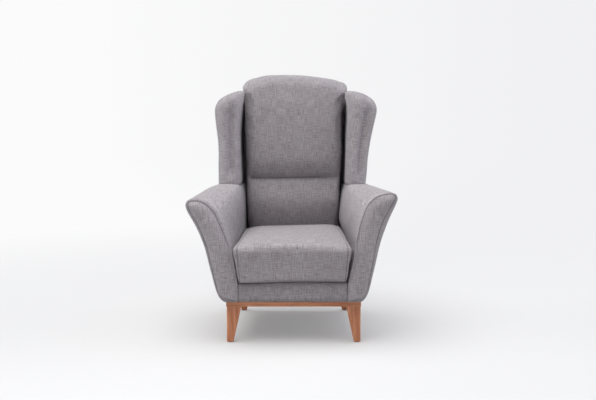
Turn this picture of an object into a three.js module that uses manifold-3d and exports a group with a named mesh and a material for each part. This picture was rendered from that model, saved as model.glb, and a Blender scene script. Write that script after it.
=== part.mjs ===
// Fireside chair: a winged easy chair, upholstered in grey cloth, on a wooden plinth with four tapered legs.
// Millimetres, +Z up. The chair faces -Y, and left and right are as seen from its front.
// Until the last lines, Y runs backwards from the front face of the plinth.
import * as THREE from "three";
import { mergeVertices } from "three/addons/utils/BufferGeometryUtils.js";
import Module from "manifold-3d";

const wasm = await Module();
wasm.setup();

// Gaps and stock shared by many pieces
const clearance = 0.3; // between pieces that touch
const overrun = 40; // how far a cut runs past what it cuts
const clothThickness = 2; // upholstery cloth with its backing
const foamGap = 0.8; // between a cover and its foam

// Glides and their nails
const glideRadius = 9;
const glideHeight = 3;
const glideEdge = 1;
const glideSides = 12;
const nailRadius = 1.5;
const nailLength = 14;

// Legs
const legHeight = 139.4;
const legTopWidth = 56;
const legTopDepth = 60;
const legFootWidth = 26;
const legFootDepth = 28;
const legFootSetback = 2; // foot's outer face behind the top's, front to back
const legEdge = 2.5;

// Plinth
const plinthHeight = 18;
const plinthRailWidth = 60;
const plinthFrontHalf = 264;
const plinthRearHalf = 250;
const plinthDepth = 590;

// Leg bolts
const boltRadius = 4;
const boltGrip = 55; // how deep a bolt goes into its leg
const boltSetback = 16; // from the inner corner of the seat rails
const boltNutRadius = 9;
const boltNutHeight = 6;
const boltTail = 4;
const boltSides = 10; // of the nails and their holes too

// Seat frame
const seatRailHeight = 60;
const seatRailThickness = 24;
const seatRailLead = 5; // front rail ahead of the plinth
const seatRailSetback = 2; // side rails inside the plinth
const cornerBlockLeg = 55;
const cornerBlockHeight = 40;

// Springs and deck
const springWireRadius = 1.9;
const springSwing = 22; // wire's sweep to each side
const springWaves = 8;
const springSpacing = 90;
const springCount = 4;
const deckThickness = 17.5;
const deckSideGap = 1.7; // to the arms

// Well between the arms, which the cushion fits
const wellFrontHalf = 211; // under the cushion
const wellRearHalf = 212;
const seatFrontHalf = 232; // beside the cushion's top edge
const seatRearHalf = 216;

// Seat cushion
const cushionFrontLead = 50; // ahead of the plinth
const cushionRearRoom = 132; // behind it, for the back pad
const cushionEdgeHeight = 131;
const cushionRearRise = 20; // how much higher its top edge lies at the rear
const cushionCrown = 36;
const cushionSideGap = 3.5;
const cushionPull = 4; // how far its sides draw in between the corners
const zipLength = 360;
const zipHeight = 22;
const zipRise = 55; // above the cushion's bottom

// Front border
const borderBulge = 17;
const borderTopGap = 2.5; // under the cushion

// Arms
const armFrontLead = 30; // ahead of the plinth
const armReach = 178; // from the seat to the arm's outer tip, at the front
const armFrontHeight = 425;
const armRearWidth = 104;
const armRearHeight = 446.7;
const armFlareLength = 340; // along which an arm narrows behind its front
const armEdge = 5;
const facingLead = 9; // crown of the facing ahead of the arm's front edge
const facingThickness = 13; // at its edge
const facingMargin = 3.5; // from the well to the facing
const facingSeatMargin = 13; // the same at the cushion's top edge
const facingLip = 4; // arm cover turned in round the facing
const armPanelThickness = 18;
const armPanelInset = 4;
const armRailWidth = 30;
const armRailHeight = 25;
const armRailDrop = 33; // under the arm's top
const armRailRearGap = 45;

// Back
const backRakeDegrees = 7;
const backPanelThickness = 7;
const backPanelMargin = 6; // inside the outline of the arms and wings
const backPanelEdge = 2;
const postThickness = 26;
const postWidth = 33;
const postOuterHalf = 208;
const backRailThickness = 24;
const backRailHeight = 60;
const backLowerRailRise = 108; // above the seat rails
const webbingThickness = 2;
const webbingWidth = 50;
const webbingCount = 3;
const webbingFirstRise = 260; // above the seat rails
const webbingSpacing = 160;

// Wings
const wingHeight = 405;
const wingWidth = 139;
const wingReach = 335; // from the back face to the wing's front
const wingFrontRound = 58;
const wingRearRound = 12;
const wingTopDrop = 75; // how far the top of the wing falls back
const wingMouthMargin = 6;
const wingMouthDepth = 4;
const wingPanelThickness = 15;
const wingPanelHalf = 270; // middle of the panel from the chair's middle
const wingPanelFrontGap = 70;
const wingPanelRearGap = 40;
const wingPanelTopGap = 75;

// Back pad
const padBottomRise = 55; // above the deck
const padHalfWidth = 205;
const padHeadHalfWidth = 236;
const padReach = 218; // from the back face to the pad's front
const padHeadHeight = 83.4;
const padRearGap = 3; // head's rear ahead of the back face
const padMouthHalf = 140;
const padMouthBottomRise = 100; // above the pad's bottom
const padMouthHeight = 480;
const padMouthDepth = 8; // ahead of the webbing's rear face

// Dust cover
const dustThickness = 1;
const dustMargin = 14;
const dustFrontGap = 8;

// Heights and planes worked out from the sizes above
const legBottom = glideHeight + clearance;
const legTop = legBottom + legHeight;
const plinthBottom = legTop + clearance;
const plinthTop = plinthBottom + plinthHeight;
const bodyBottom = plinthTop + clearance;
const railBottom = bodyBottom + clothThickness + clearance;
const railTop = railBottom + seatRailHeight;
const blockTop = railBottom + cornerBlockHeight;
const springTop = railTop + clearance + springWireRadius + springWireRadius;
const deckBottom = springTop + clearance;
const deckTop = deckBottom + deckThickness;
const cushionBottom = deckTop + clearance;
const cushionEdgeTop = cushionBottom + cushionEdgeHeight;
const armRearTop = bodyBottom + armRearHeight;
const wingBottom = armRearTop + clearance;
const wingTop = wingBottom + wingHeight;
const frameTop = wingTop - backPanelMargin - backPanelEdge;
const saddleBottom = frameTop + clearance;
const padBottom = deckTop + padBottomRise;
const headBottom = wingTop + clearance;

const railFront = -seatRailLead;
const railFrontBack = railFront + seatRailThickness;
const railRear = plinthDepth - backPanelThickness - clearance - clearance;
const railRearFront = railRear - seatRailThickness;
const cushionFront = -cushionFrontLead;
const cushionDepth = plinthDepth + cushionFrontLead - cushionRearRoom;
const armFront = -armFrontLead;
const facingBack = armFront + facingLip + facingThickness;
const armPanelBack = facingBack + clearance + armPanelThickness;

const cloth = { color: 0x8b868a, roughness: 0.95 };
const foam = { color: 0xe6dcc0, roughness: 0.9 };
const showWood = { color: 0xb06c50, roughness: 0.45 };
const frameWood = { color: 0xc9a77c, roughness: 0.8 };
const plywood = { color: 0xd2b48c, roughness: 0.8 };
const steel = { color: 0x8f9296, roughness: 0.35, metalness: 1 };
const blackPlastic = { color: 0x222222, roughness: 0.5 };
const webbing = { color: 0x3a3a3c, roughness: 0.9 };
const lining = { color: 0x1e1e20, roughness: 0.95 };

const chair = new THREE.Group();

// Adds one piece of the chair, from a geometry or from a manifold solid
function addPiece(name, shape, finish) {
  const geometry = shape.isBufferGeometry ? shape : geometryOf(shape);
  geometry.computeVertexNormals();
  const mesh = new THREE.Mesh(geometry, new THREE.MeshStandardMaterial(finish));
  mesh.name = name;
  chair.add(mesh);
}

// Adds a piece on each side: the maker is given the side, -1 for left and 1 for right
function addPair(name, make, finish) {
  for (const [side, label] of [[-1, "left"], [1, "right"]]) {
    addPiece(name + "_" + label, make(side), finish);
  }
}

// Helpers for solids

function mix(a, b, share) {
  return a + (b - a) * share;
}

function smooth(share) {
  const t = Math.min(Math.max(share, 0), 1);
  return t * t * (3 - 2 * t);
}

function solidOf(geometry) {
  const bare = geometry.clone();
  bare.deleteAttribute("normal");
  bare.deleteAttribute("uv");
  const merged = mergeVertices(bare);
  return new wasm.Manifold(
    new wasm.Mesh({
      numProp: 3,
      vertProperties: merged.attributes.position.array,
      triVerts: new Uint32Array(merged.index.array),
    }),
  );
}

function geometryOf(solid) {
  const mesh = solid.getMesh();
  const geometry = new THREE.BufferGeometry();
  geometry.setAttribute("position", new THREE.BufferAttribute(mesh.vertProperties, 3));
  geometry.setIndex(new THREE.BufferAttribute(mesh.triVerts, 1));
  return geometry;
}

// Triangles across the end of a loft, zipped from both ends of the ring
function capFaces(first, count, forward) {
  const faces = [];
  for (let i = 0, j = count - 1; i < j; ) {
    const corners = i + 1 === j ? [] : [first + i, first + i + 1, first + j];
    if (corners.length) faces.push(...(forward ? corners : corners.reverse()));
    i += 1;
    if (i + 1 < j) {
      const next = [first + i, first + j - 1, first + j];
      faces.push(...(forward ? next : next.reverse()));
    }
    j -= 1;
  }
  return faces;
}

// A closed skin through rings of points, all with the same count
function loft(rings) {
  const count = rings[0].length;
  const faces = [];
  for (let ring = 0; ring + 1 < rings.length; ring += 1) {
    for (let i = 0; i < count; i += 1) {
      const a = ring * count + i;
      const b = ring * count + ((i + 1) % count);
      faces.push(a, b, b + count, a, b + count, a + count);
    }
  }
  faces.push(...capFaces(0, count, false));
  faces.push(...capFaces((rings.length - 1) * count, count, true));
  const geometry = new THREE.BufferGeometry().setFromPoints(rings.flat());
  geometry.setIndex(signedVolume(rings.flat(), faces) < 0 ? faces.reverse() : faces);
  return geometry;
}

function signedVolume(points, faces) {
  const cross = new THREE.Vector3();
  let sum = 0;
  for (let i = 0; i < faces.length; i += 3) {
    cross.crossVectors(points[faces[i + 1]], points[faces[i + 2]]);
    sum += points[faces[i]].dot(cross);
  }
  return sum;
}

const offsetEase = 0.3; // settles points whose faces all lie in one plane

// The same skin moved inwards: each point goes where the faces round it have all moved by the distance
function shrunk(geometry, distance) {
  const inner = geometry.clone();
  const place = inner.attributes.position;
  const index = inner.index.array;
  const triangle = new THREE.Triangle();
  const normal = new THREE.Vector3();
  const faces = Array.from({ length: place.count }, () => []);
  for (let i = 0; i < index.length; i += 3) {
    triangle.setFromAttributeAndIndices(place, index[i], index[i + 1], index[i + 2]);
    triangle.getNormal(normal);
    for (const corner of index.slice(i, i + 3)) faces[corner].push(normal.clone());
  }
  faces.forEach((normals, i) => {
    const cells = [0, 0, 0, 0, 0, 0, 0, 0, 0];
    const move = new THREE.Vector3();
    for (const { x, y, z } of normals) {
      [x * x, x * y, x * z, x * y, y * y, y * z, x * z, y * z, z * z].forEach((cell, k) => {
        cells[k] += cell;
      });
      move.add(new THREE.Vector3(x, y, z));
    }
    for (const k of [0, 4, 8]) cells[k] += offsetEase;
    move.applyMatrix3(new THREE.Matrix3().set(...cells).invert()).multiplyScalar(-distance);
    place.setXYZ(i, place.getX(i) + move.x, place.getY(i) + move.y, place.getZ(i) + move.z);
  });
  return inner;
}

// A closed outline moved inwards by a distance
function insetOutline(points, distance) {
  const turn = Math.sign(THREE.ShapeUtils.area(points));
  const count = points.length;
  return points.map((point, i) => {
    const before = point.clone().sub(points[(i + count - 1) % count]).normalize();
    const after = points[(i + 1) % count].clone().sub(point).normalize();
    const along = before.clone().add(after).normalize();
    const stretch = Math.max(along.dot(before), Math.SQRT1_2);
    const inward = new THREE.Vector2(-along.y, along.x).multiplyScalar(turn);
    return point.clone().addScaledVector(inward, distance / stretch);
  });
}

// An outline in plan raised from one height to another
function prism(corners, bottom, top) {
  const shape = new THREE.Shape(corners.map(([x, y]) => new THREE.Vector2(x, y)));
  const geometry = new THREE.ExtrudeGeometry(shape, { depth: top - bottom, bevelEnabled: false });
  return geometry.translate(0, 0, bottom);
}

function box(x0, x1, y0, y1, z0, z1) {
  return prism([[x0, y0], [x1, y0], [x1, y1], [x0, y1]], z0, z1);
}

function uprightCylinder(radius, x, y, bottom, top, sides) {
  const geometry = new THREE.CylinderGeometry(radius, radius, top - bottom, sides);
  geometry.rotateX(Math.PI / 2);
  return geometry.translate(x, y, (bottom + top) / 2);
}

// A turned solid on an upright axis, from pairs of radius and height
function turned(profile, x, y, sides) {
  const points = profile.map(([radius, height]) => new THREE.Vector2(radius, height));
  const geometry = new THREE.LatheGeometry(points, sides);
  geometry.rotateX(Math.PI / 2);
  return geometry.translate(x, y, 0);
}

// A rectangle with round corners, as pairs of shares across and along from -1 to 1
const middleShare = 0.35; // where its front and rear have a point to each side of the middle

function roundedShares(cornerAcross, cornerAlong, arcSteps) {
  const right = [[middleShare, -1]];
  for (const end of [-1, 1]) {
    for (let i = 0; i <= arcSteps; i += 1) {
      const angle = (((end < 0 ? -1 : 0) + i / arcSteps) * Math.PI) / 2;
      right.push([
        1 - cornerAcross + cornerAcross * Math.cos(angle),
        end * (1 - cornerAlong) + cornerAlong * Math.sin(angle),
      ]);
    }
    right.push(end < 0 ? [1, 0] : [middleShare, 1]);
  }
  const left = right.map(([across, along]) => [-across, along]).reverse();
  return [...right, ...left];
}

// Shape of the whole chair

const backSlope = Math.tan(THREE.MathUtils.degToRad(backRakeDegrees));

// The raked plane of the outside back
function backFace(height) {
  return plinthDepth + (height - bodyBottom) * backSlope;
}

// Half the plinth's width, which narrows to the rear
function plinthHalf(y) {
  return mix(plinthFrontHalf, plinthRearHalf, y / plinthDepth);
}

function railOuter(y) {
  return plinthHalf(y) - seatRailSetback;
}

function railInner(y) {
  return railOuter(y) - seatRailThickness;
}

// How much of the front's flare an arm still has at a place along it
function flare(y) {
  return 1 - smooth((y - armFront) / armFlareLength);
}

// Half the width of the well, from the deck at 0 to the cushion's top edge at 1
function wellHalf(y, share) {
  const front = mix(wellFrontHalf, seatFrontHalf, share);
  const rear = mix(wellRearHalf, seatRearHalf, share);
  return mix(rear, front, flare(y));
}

// A board that leans with the back, between two heights
function rakedBoard(x0, x1, z0, z1, behind, thickness) {
  const ring = (height) => {
    const rear = backFace(height) - behind;
    const front = rear - thickness;
    return [[x0, front], [x1, front], [x1, rear], [x0, rear]].map(
      ([x, y]) => new THREE.Vector3(x, y, height),
    );
  };
  return loft([ring(z0), ring(z1)]);
}

// Legs, glides and bolts

// Each leg stands under a corner of the plinth, with its foot near the outer corner
const corners = [];
for (const [end, label] of [[0, "front"], [1, "rear"]]) {
  for (const [side, sideLabel] of [[-1, "left"], [1, "right"]]) {
    const toMiddle = end ? -1 : 1;
    const outerY = end ? plinthDepth : 0;
    const railCornerY = (end ? railRearFront : railFrontBack) + clearance * toMiddle;
    const outerX = side * (end ? plinthRearHalf : plinthHalf(legTopDepth));
    const footOuterY = outerY + legFootSetback * toMiddle;
    corners.push({
      label: label + "_" + sideLabel,
      side,
      toMiddle,
      outerX,
      outerY,
      railCornerY,
      footOuterY,
      footX: outerX - (side * legFootWidth) / 2,
      footY: footOuterY + (toMiddle * legFootDepth) / 2,
      boltX: side * (railInner(railCornerY) - clearance - boltSetback),
      boltY: railCornerY + toMiddle * boltSetback,
    });
  }
}

// A rectangle with cut corners, from its outer corner inwards
function legRing(corner, outerY, width, depth, edge, height) {
  const xs = [0, edge, width - edge, width].map((step) => corner.outerX - corner.side * step);
  const ys = [0, edge, depth - edge, depth].map((step) => outerY + corner.toMiddle * step);
  const order = [[1, 0], [2, 0], [3, 1], [3, 2], [2, 3], [1, 3], [0, 2], [0, 1]];
  return order.map(([i, j]) => new THREE.Vector3(xs[i], ys[j], height));
}

function makeLeg(corner) {
  const top = [corner, corner.outerY, legTopWidth, legTopDepth, legEdge, legTop];
  const foot = [corner, corner.footOuterY, legFootWidth, legFootDepth, legEdge, legBottom];
  const body = solidOf(loft([legRing(...foot), legRing(...top)]));
  const nailHole = uprightCylinder(
    nailRadius + clearance,
    corner.footX,
    corner.footY,
    legBottom - overrun,
    glideHeight + nailLength + clearance,
    boltSides,
  );
  const boltHole = uprightCylinder(
    boltRadius + clearance,
    corner.boltX,
    corner.boltY,
    legTop - boltGrip - clearance,
    legTop + overrun,
    boltSides,
  );
  return body.subtract(solidOf(nailHole)).subtract(solidOf(boltHole));
}

function makeGlide(corner) {
  const profile = [
    [0, 0],
    [glideRadius - glideEdge, 0],
    [glideRadius, glideEdge],
    [glideRadius, glideHeight],
    [nailRadius, glideHeight],
    [nailRadius, glideHeight + nailLength],
    [0, glideHeight + nailLength],
  ];
  return turned(profile, corner.footX, corner.footY, glideSides);
}

function makeBolt(corner) {
  const nutBottom = blockTop + clearance;
  const nutTop = nutBottom + boltNutHeight;
  const profile = [
    [0, legTop - boltGrip],
    [boltRadius, legTop - boltGrip],
    [boltRadius, nutBottom],
    [boltNutRadius, nutBottom],
    [boltNutRadius, nutTop],
    [boltRadius, nutTop],
    [boltRadius, nutTop + boltTail],
    [0, nutTop + boltTail],
  ];
  return turned(profile, corner.boltX, corner.boltY, boltSides);
}

// Takes the bolts' holes out of a solid that they pass through
function drilled(blank, bottom, top) {
  return corners.reduce((solid, corner) => {
    const hole = uprightCylinder(
      boltRadius + clearance,
      corner.boltX,
      corner.boltY,
      bottom - overrun,
      top + overrun,
      boltSides,
    );
    return solid.subtract(solidOf(hole));
  }, blank);
}

for (const corner of corners) {
  addPiece("leg_" + corner.label, makeLeg(corner), showWood);
  addPiece("glide_" + corner.label, makeGlide(corner), blackPlastic);
  addPiece("leg_bolt_" + corner.label, makeBolt(corner), steel);
}

// Plinth: front and rear rails run the full width, and the side rails fit between them

function plinthCrossRail(y0, y1) {
  const outline = [
    [-plinthHalf(y0), y0],
    [plinthHalf(y0), y0],
    [plinthHalf(y1), y1],
    [-plinthHalf(y1), y1],
  ];
  return drilled(solidOf(prism(outline, plinthBottom, plinthTop)), plinthBottom, plinthTop);
}

function plinthSideRail(side) {
  const y0 = plinthRailWidth + clearance;
  const y1 = plinthDepth - plinthRailWidth - clearance;
  const outline = [
    [side * plinthHalf(y0), y0],
    [side * plinthHalf(y1), y1],
    [side * (plinthHalf(y1) - plinthRailWidth), y1],
    [side * (plinthHalf(y0) - plinthRailWidth), y0],
  ];
  return prism(outline, plinthBottom, plinthTop);
}

addPiece("plinth_front_rail", plinthCrossRail(0, plinthRailWidth), showWood);
addPiece("plinth_rear_rail", plinthCrossRail(plinthDepth - plinthRailWidth, plinthDepth), showWood);
addPair("plinth_side_rail", plinthSideRail, showWood);

// Seat frame, and the dust cover under it

function seatCrossRail(y0, y1) {
  const outline = [
    [-railOuter(y0), y0],
    [railOuter(y0), y0],
    [railOuter(y1), y1],
    [-railOuter(y1), y1],
  ];
  return prism(outline, railBottom, railTop);
}

function seatSideRail(side) {
  const y0 = railFrontBack + clearance;
  const y1 = railRearFront - clearance;
  const outline = [
    [side * railOuter(y0), y0],
    [side * railOuter(y1), y1],
    [side * railInner(y1), y1],
    [side * railInner(y0), y0],
  ];
  return prism(outline, railBottom, railTop);
}

function makeCornerBlock(corner) {
  const y0 = corner.railCornerY;
  const y1 = y0 + corner.toMiddle * cornerBlockLeg;
  const outline = [
    [corner.side * (railInner(y0) - clearance), y0],
    [corner.side * (railInner(y1) - clearance), y1],
    [corner.side * (railInner(y0) - clearance - cornerBlockLeg), y0],
  ];
  return drilled(solidOf(prism(outline, railBottom, blockTop)), railBottom, blockTop);
}

addPiece("seat_rail_front", seatCrossRail(railFront, railFrontBack), frameWood);
addPiece("seat_rail_rear", seatCrossRail(railRearFront, railRear), frameWood);
addPair("seat_rail", seatSideRail, frameWood);
for (const corner of corners) {
  addPiece("corner_block_" + corner.label, makeCornerBlock(corner), frameWood);
}

const dustHalf = wellRearHalf - dustMargin;
const dustCover = box(
  -dustHalf,
  dustHalf,
  dustFrontGap,
  railRear,
  bodyBottom,
  bodyBottom + dustThickness,
);
addPiece("dust_cover", dustCover, lining);

// Sinuous springs from the front rail to the rear rail, and the deck pad on them

const springWireSides = 5;
const springWaveSteps = 4;

class SpringCurve extends THREE.Curve {
  constructor(x) {
    super();
    this.x = x;
  }

  getPoint(share) {
    const front = (railFront + railFrontBack) / 2;
    const rear = (railRearFront + railRear) / 2;
    const swing = springSwing * Math.sin(2 * Math.PI * springWaves * share);
    return new THREE.Vector3(
      this.x + swing,
      mix(front, rear, share),
      railTop + clearance + springWireRadius,
    );
  }
}

function makeSpring(x) {
  const sides = Array.from({ length: springWireSides }, (_, i) => (2 * Math.PI * i) / springWireSides);
  const wire = sides.map(
    (angle) => new THREE.Vector2(Math.cos(angle), Math.sin(angle)).multiplyScalar(springWireRadius),
  );
  return new THREE.ExtrudeGeometry(new THREE.Shape(wire), {
    steps: springWaves * springWaveSteps,
    bevelEnabled: false,
    extrudePath: new SpringCurve(x),
  });
}

for (let i = 0; i < springCount; i += 1) {
  const x = (i - (springCount - 1) / 2) * springSpacing;
  addPiece("seat_spring_" + (i + 1), makeSpring(x), steel);
}

function makeDeck() {
  const y0 = railFront + clearance;
  const y1 = armFront + armFlareLength;
  const y2 = railRearFront;
  const half = (y) => Math.min(wellHalf(y, 0), wellRearHalf, wellFrontHalf) - deckSideGap;
  const right = [y0, y1, y2].map((y) => [half(y), y]);
  const left = [y2, y1, y0].map((y) => [-half(y), y]);
  return prism([...right, ...left], deckBottom, deckTop);
}
addPiece("seat_deck_pad", makeDeck(), webbing);

// Front border: a padded strip over the front rail, under the cushion

const borderShares = [
  [0, 0.0],
  [0.72, 0.0],
  [0.93, 0.06],
  [1.0, 0.3],
  [1.0, 0.66],
  [0.9, 0.9],
  [0.68, 1.0],
  [0, 1.0],
];

// Place across and bulge of its sections, which ease off at the ends
const borderEndShares = [[-1, 0.93], [-0.97, 1], [0.97, 1], [1, 0.93]];

function makeBorder() {
  const half = wellFrontHalf - clothThickness - clearance;
  const bottom = bodyBottom + clothThickness;
  const height = deckTop - borderTopGap - bottom;
  const back = railFront - clearance;
  const rings = borderEndShares.map(([across, bulge]) =>
    borderShares.map(
      ([out, up]) =>
        new THREE.Vector3(half * across, back - borderBulge * out * bulge, bottom + height * up),
    ),
  );
  return loft(rings);
}
addPiece("front_border", makeBorder(), cloth);

// Arms: sections from the flared front to the upright rear

// Outer side and top at the front, in shares of armReach and armFrontHeight
const armFrontShares = [
  [0.17, 0],
  [0.25, 0.035],
  [0.315, 0.065],
  [0.345, 0.1],
  [0.41, 0.225],
  [0.47, 0.31],
  [0.54, 0.43],
  [0.605, 0.53],
  [0.69, 0.635],
  [0.78, 0.73],
  [0.87, 0.805],
  [0.955, 0.885],
  [1, 0.945],
  [0.965, 0.99],
  [0.86, 1],
  [0.7, 0.993],
  [0.56, 0.965],
  [0.42, 0.92],
  [0.31, 0.85],
  [0.19, 0.73],
  [0.11, 0.63],
  [0.045, 0.55],
];

const armTipPoint = 12; // where the outer side ends in the arm's tip

// The same points at the rear, in shares of armRearWidth and armRearHeight
const armRearShares = [
  [0.4, 0],
  [0.5, 0.03],
  [0.545, 0.06],
  [0.56, 0.1],
  [0.625, 0.21],
  [0.66, 0.29],
  [0.71, 0.41],
  [0.75, 0.5],
  [0.81, 0.59],
  [0.86, 0.68],
  [0.91, 0.76],
  [0.955, 0.84],
  [0.99, 0.92],
  [0.955, 0.98],
  [0.83, 1],
  [0.66, 1],
  [0.48, 1],
  [0.31, 0.998],
  [0.16, 0.985],
  [0.05, 0.94],
  [0.01, 0.8],
  [0, 0.62],
];

// The facing on the arm's front, in shares of armReach and armFrontHeight
const facingShares = [
  [0.145, 0.012],
  [0.215, 0.045],
  [0.27, 0.085],
  [0.305, 0.125],
  [0.36, 0.225],
  [0.42, 0.31],
  [0.49, 0.43],
  [0.555, 0.53],
  [0.64, 0.64],
  [0.73, 0.735],
  [0.82, 0.81],
  [0.9, 0.885],
  [0.945, 0.942],
  [0.92, 0.97],
  [0.86, 0.978],
  [0.7, 0.968],
  [0.575, 0.94],
  [0.45, 0.895],
  [0.35, 0.83],
  [0.235, 0.72],
  [0.155, 0.625],
  [0.095, 0.54],
];

// Sections of its rounded front edge: how far in and how far back, in shares of armEdge
const armEdgeShares = [[1, 0], [0.25, 0.33]];

// Stations along its flare, each with the share of the back's rake that its section leans by
const armStationShares = [[0.06, 0], [0.22, 0], [0.4, 0], [0.6, 0], [0.78, 0], [1, 0.3]];

// Section of a right arm at a place along it, moved inwards by a distance
function armOutline(y, inset) {
  const at = flare(y);
  const points = armFrontShares.map(([frontOut, frontUp], i) => {
    const [rearOut, rearUp] = armRearShares[i];
    return new THREE.Vector2(
      mix(seatRearHalf + rearOut * armRearWidth, seatFrontHalf + frontOut * armReach, at),
      bodyBottom + mix(rearUp * armRearHeight, frontUp * armFrontHeight, at),
    );
  });
  points.push(new THREE.Vector2(wellHalf(y, 1), cushionEdgeTop));
  points.push(new THREE.Vector2(wellHalf(y, 0), deckTop));
  points.push(new THREE.Vector2(wellHalf(y, 0), bodyBottom));
  return inset ? insetOutline(points, inset) : points;
}

// A ring from an upright outline: the lean share slopes it with the back
function uprightRing(outline, side, y, lean) {
  return outline.map(
    (point) =>
      new THREE.Vector3(
        side * point.x,
        y + lean * (point.y - bodyBottom) * backSlope,
        point.y,
      ),
  );
}

const armRear = plinthDepth - backPanelThickness - clearance;

function armSkin(side, inset, front, rear) {
  const rings = [];
  if (inset) {
    rings.push(uprightRing(armOutline(armFront, inset), side, front, 0));
  } else {
    for (const [inwards, back] of armEdgeShares) {
      const outline = armOutline(armFront, armEdge * inwards);
      rings.push(uprightRing(outline, side, armFront + armEdge * back, 0));
    }
  }
  for (const [share, lean] of armStationShares) {
    const y = armFront + armFlareLength * share;
    rings.push(uprightRing(armOutline(y, inset), side, y, lean));
  }
  rings.push(uprightRing(armOutline(rear, inset), side, rear, 1));
  return solidOf(loft(rings));
}

// Room for the seat frame, which the arms fit over
function seatFrameRoom(bottom) {
  const y0 = railFront - clearance;
  const y1 = railRear + overrun;
  const outline = [
    [-railOuter(y0) - clearance, y0],
    [railOuter(y0) + clearance, y0],
    [railOuter(y1) + clearance, y1],
    [-railOuter(y1) - clearance, y1],
  ];
  return solidOf(prism(outline, bottom, railTop + clearance));
}

function facingOutline(grow) {
  const points = facingShares.map(
    ([out, up]) =>
      new THREE.Vector2(seatFrontHalf + out * armReach, bodyBottom + up * armFrontHeight),
  );
  points.push(new THREE.Vector2(seatFrontHalf + facingSeatMargin, cushionEdgeTop));
  points.push(new THREE.Vector2(wellFrontHalf + facingMargin, deckTop));
  points.push(new THREE.Vector2(wellFrontHalf + facingMargin, bodyBottom + facingMargin));
  return grow ? insetOutline(points, -grow) : points;
}

function facingPlate(side, grow, front, back) {
  const outline = facingOutline(grow);
  return solidOf(loft([uprightRing(outline, side, front, 0), uprightRing(outline, side, back, 0)]));
}

// The ply panel of a wing, which reaches down onto the arm's rail
const armRailTop = armRearTop - armRailDrop;

function wingPanel(side, grow) {
  const half = wingPanelThickness / 2 + grow;
  const bottom = armRailTop + clearance - grow;
  const top = wingTop - wingPanelTopGap + grow;
  return solidOf(
    rakedBoard(
      side * wingPanelHalf - half,
      side * wingPanelHalf + half,
      bottom,
      top,
      wingPanelRearGap - grow,
      wingReach - wingPanelFrontGap - wingPanelRearGap + 2 * grow,
    ),
  );
}

// The rail in an arm runs in its middle, from the front panel to short of the back
const armRailFrontShares = [0.67, 0.87];
const armRailStationShares = [0.45, 0.75, 1];

function armRail(side, grow) {
  const halfWidth = armRailWidth / 2 + grow;
  const ring = (y) => {
    const at = flare(y);
    const [outShare, upShare] = armRailFrontShares;
    const x = mix(wingPanelHalf, seatFrontHalf + outShare * armReach, at);
    const top = mix(armRailTop, bodyBottom + upShare * armFrontHeight, at) + grow;
    const bottom = top - armRailHeight - 2 * grow;
    return [[-halfWidth, bottom], [halfWidth, bottom], [halfWidth, top], [-halfWidth, top]].map(
      ([across, z]) => new THREE.Vector3(side * (x + across), y, z),
    );
  };
  const front = armPanelBack + clearance - grow;
  const rear = armRear - armRailRearGap + grow;
  const between = armRailStationShares.map((share) => armFront + armFlareLength * share);
  return solidOf(loft([front, ...between, rear].map(ring)));
}

function makeArmCover(side) {
  const cavity = armSkin(side, clothThickness, armFront + facingLip, armRear + overrun);
  const mouth = facingPlate(side, clearance, armFront - overrun, facingBack);
  const cover = armSkin(side, 0, armFront, armRear)
    .subtract(cavity)
    .subtract(mouth)
    .subtract(seatFrameRoom(bodyBottom + clothThickness))
    .subtract(wingPanel(side, clearance));
  return drilled(cover, bodyBottom, railBottom);
}

// The room in front of an arm's foam, which the facing and its panel fill
function armFrontRoom() {
  const half = seatFrontHalf + armReach + overrun;
  const back = armPanelBack + clearance;
  return solidOf(box(-half, half, armFront - overrun, back, legTop, armRearTop + overrun));
}

function makeArmFoam(side) {
  return armSkin(side, clothThickness + clearance, armFront + facingLip, armRear)
    .subtract(armFrontRoom())
    .subtract(seatFrameRoom(bodyBottom))
    .subtract(armRail(side, clearance))
    .subtract(wingPanel(side, clearance));
}

function makeArmPanel(side) {
  const outline = insetOutline(facingOutline(0), armPanelInset);
  const rings = [facingBack + clearance, armPanelBack].map((y) =>
    uprightRing(outline, side, y, 0),
  );
  return solidOf(loft(rings)).subtract(seatFrameRoom(railBottom - clearance));
}

// The facing swells from its edge to the middle line between its two sides: width and swell
const facingSwellShares = [[1, 0], [0.9, 0.55], [0.66, 0.85], [0.3, 1]];
const firstPair = 1; // of points across the facing, at its foot
const tipPairs = 2; // left out at its tip

function facingSwell(outline, width) {
  const last = outline.length - 1;
  return outline.map((point, i) => {
    const pair = Math.min(Math.max(Math.min(i, last - i), firstPair), last / 2 - tipPairs);
    const centre = outline[pair].clone().add(outline[last - pair]).multiplyScalar(0.5);
    return centre.lerp(point, width);
  });
}

function makeFacing(side) {
  const outline = facingOutline(0);
  const edge = facingBack - facingThickness;
  const swell = facingLip + facingLead;
  const rings = facingSwellShares.map(([width, out]) =>
    uprightRing(facingSwell(outline, width), side, edge - swell * out, 0),
  );
  return loft([uprightRing(outline, side, facingBack, 0), ...rings]);
}

addPair("arm_front_panel", makeArmPanel, plywood);
addPair("arm_rail", (side) => armRail(side, 0), frameWood);
addPair("arm_foam", makeArmFoam, foam);
addPair("arm_cover", makeArmCover, cloth);
addPair("arm_facing", makeFacing, cloth);

// Back frame: raked posts on the rear seat rail, with rails and webbing between them

const postBehind = backPanelThickness + clearance;
const postInnerHalf = postOuterHalf - postWidth;
const webbingBehind = postBehind + postThickness + clearance;

function makePost(side) {
  const [x0, x1] = side < 0 ? [-postOuterHalf, -postInnerHalf] : [postInnerHalf, postOuterHalf];
  return rakedBoard(x0, x1, railTop + clearance, frameTop, postBehind, postThickness);
}

function makeBackRail(bottom) {
  const half = postInnerHalf - clearance;
  return rakedBoard(-half, half, bottom, bottom + backRailHeight, postBehind, backRailThickness);
}

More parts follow.
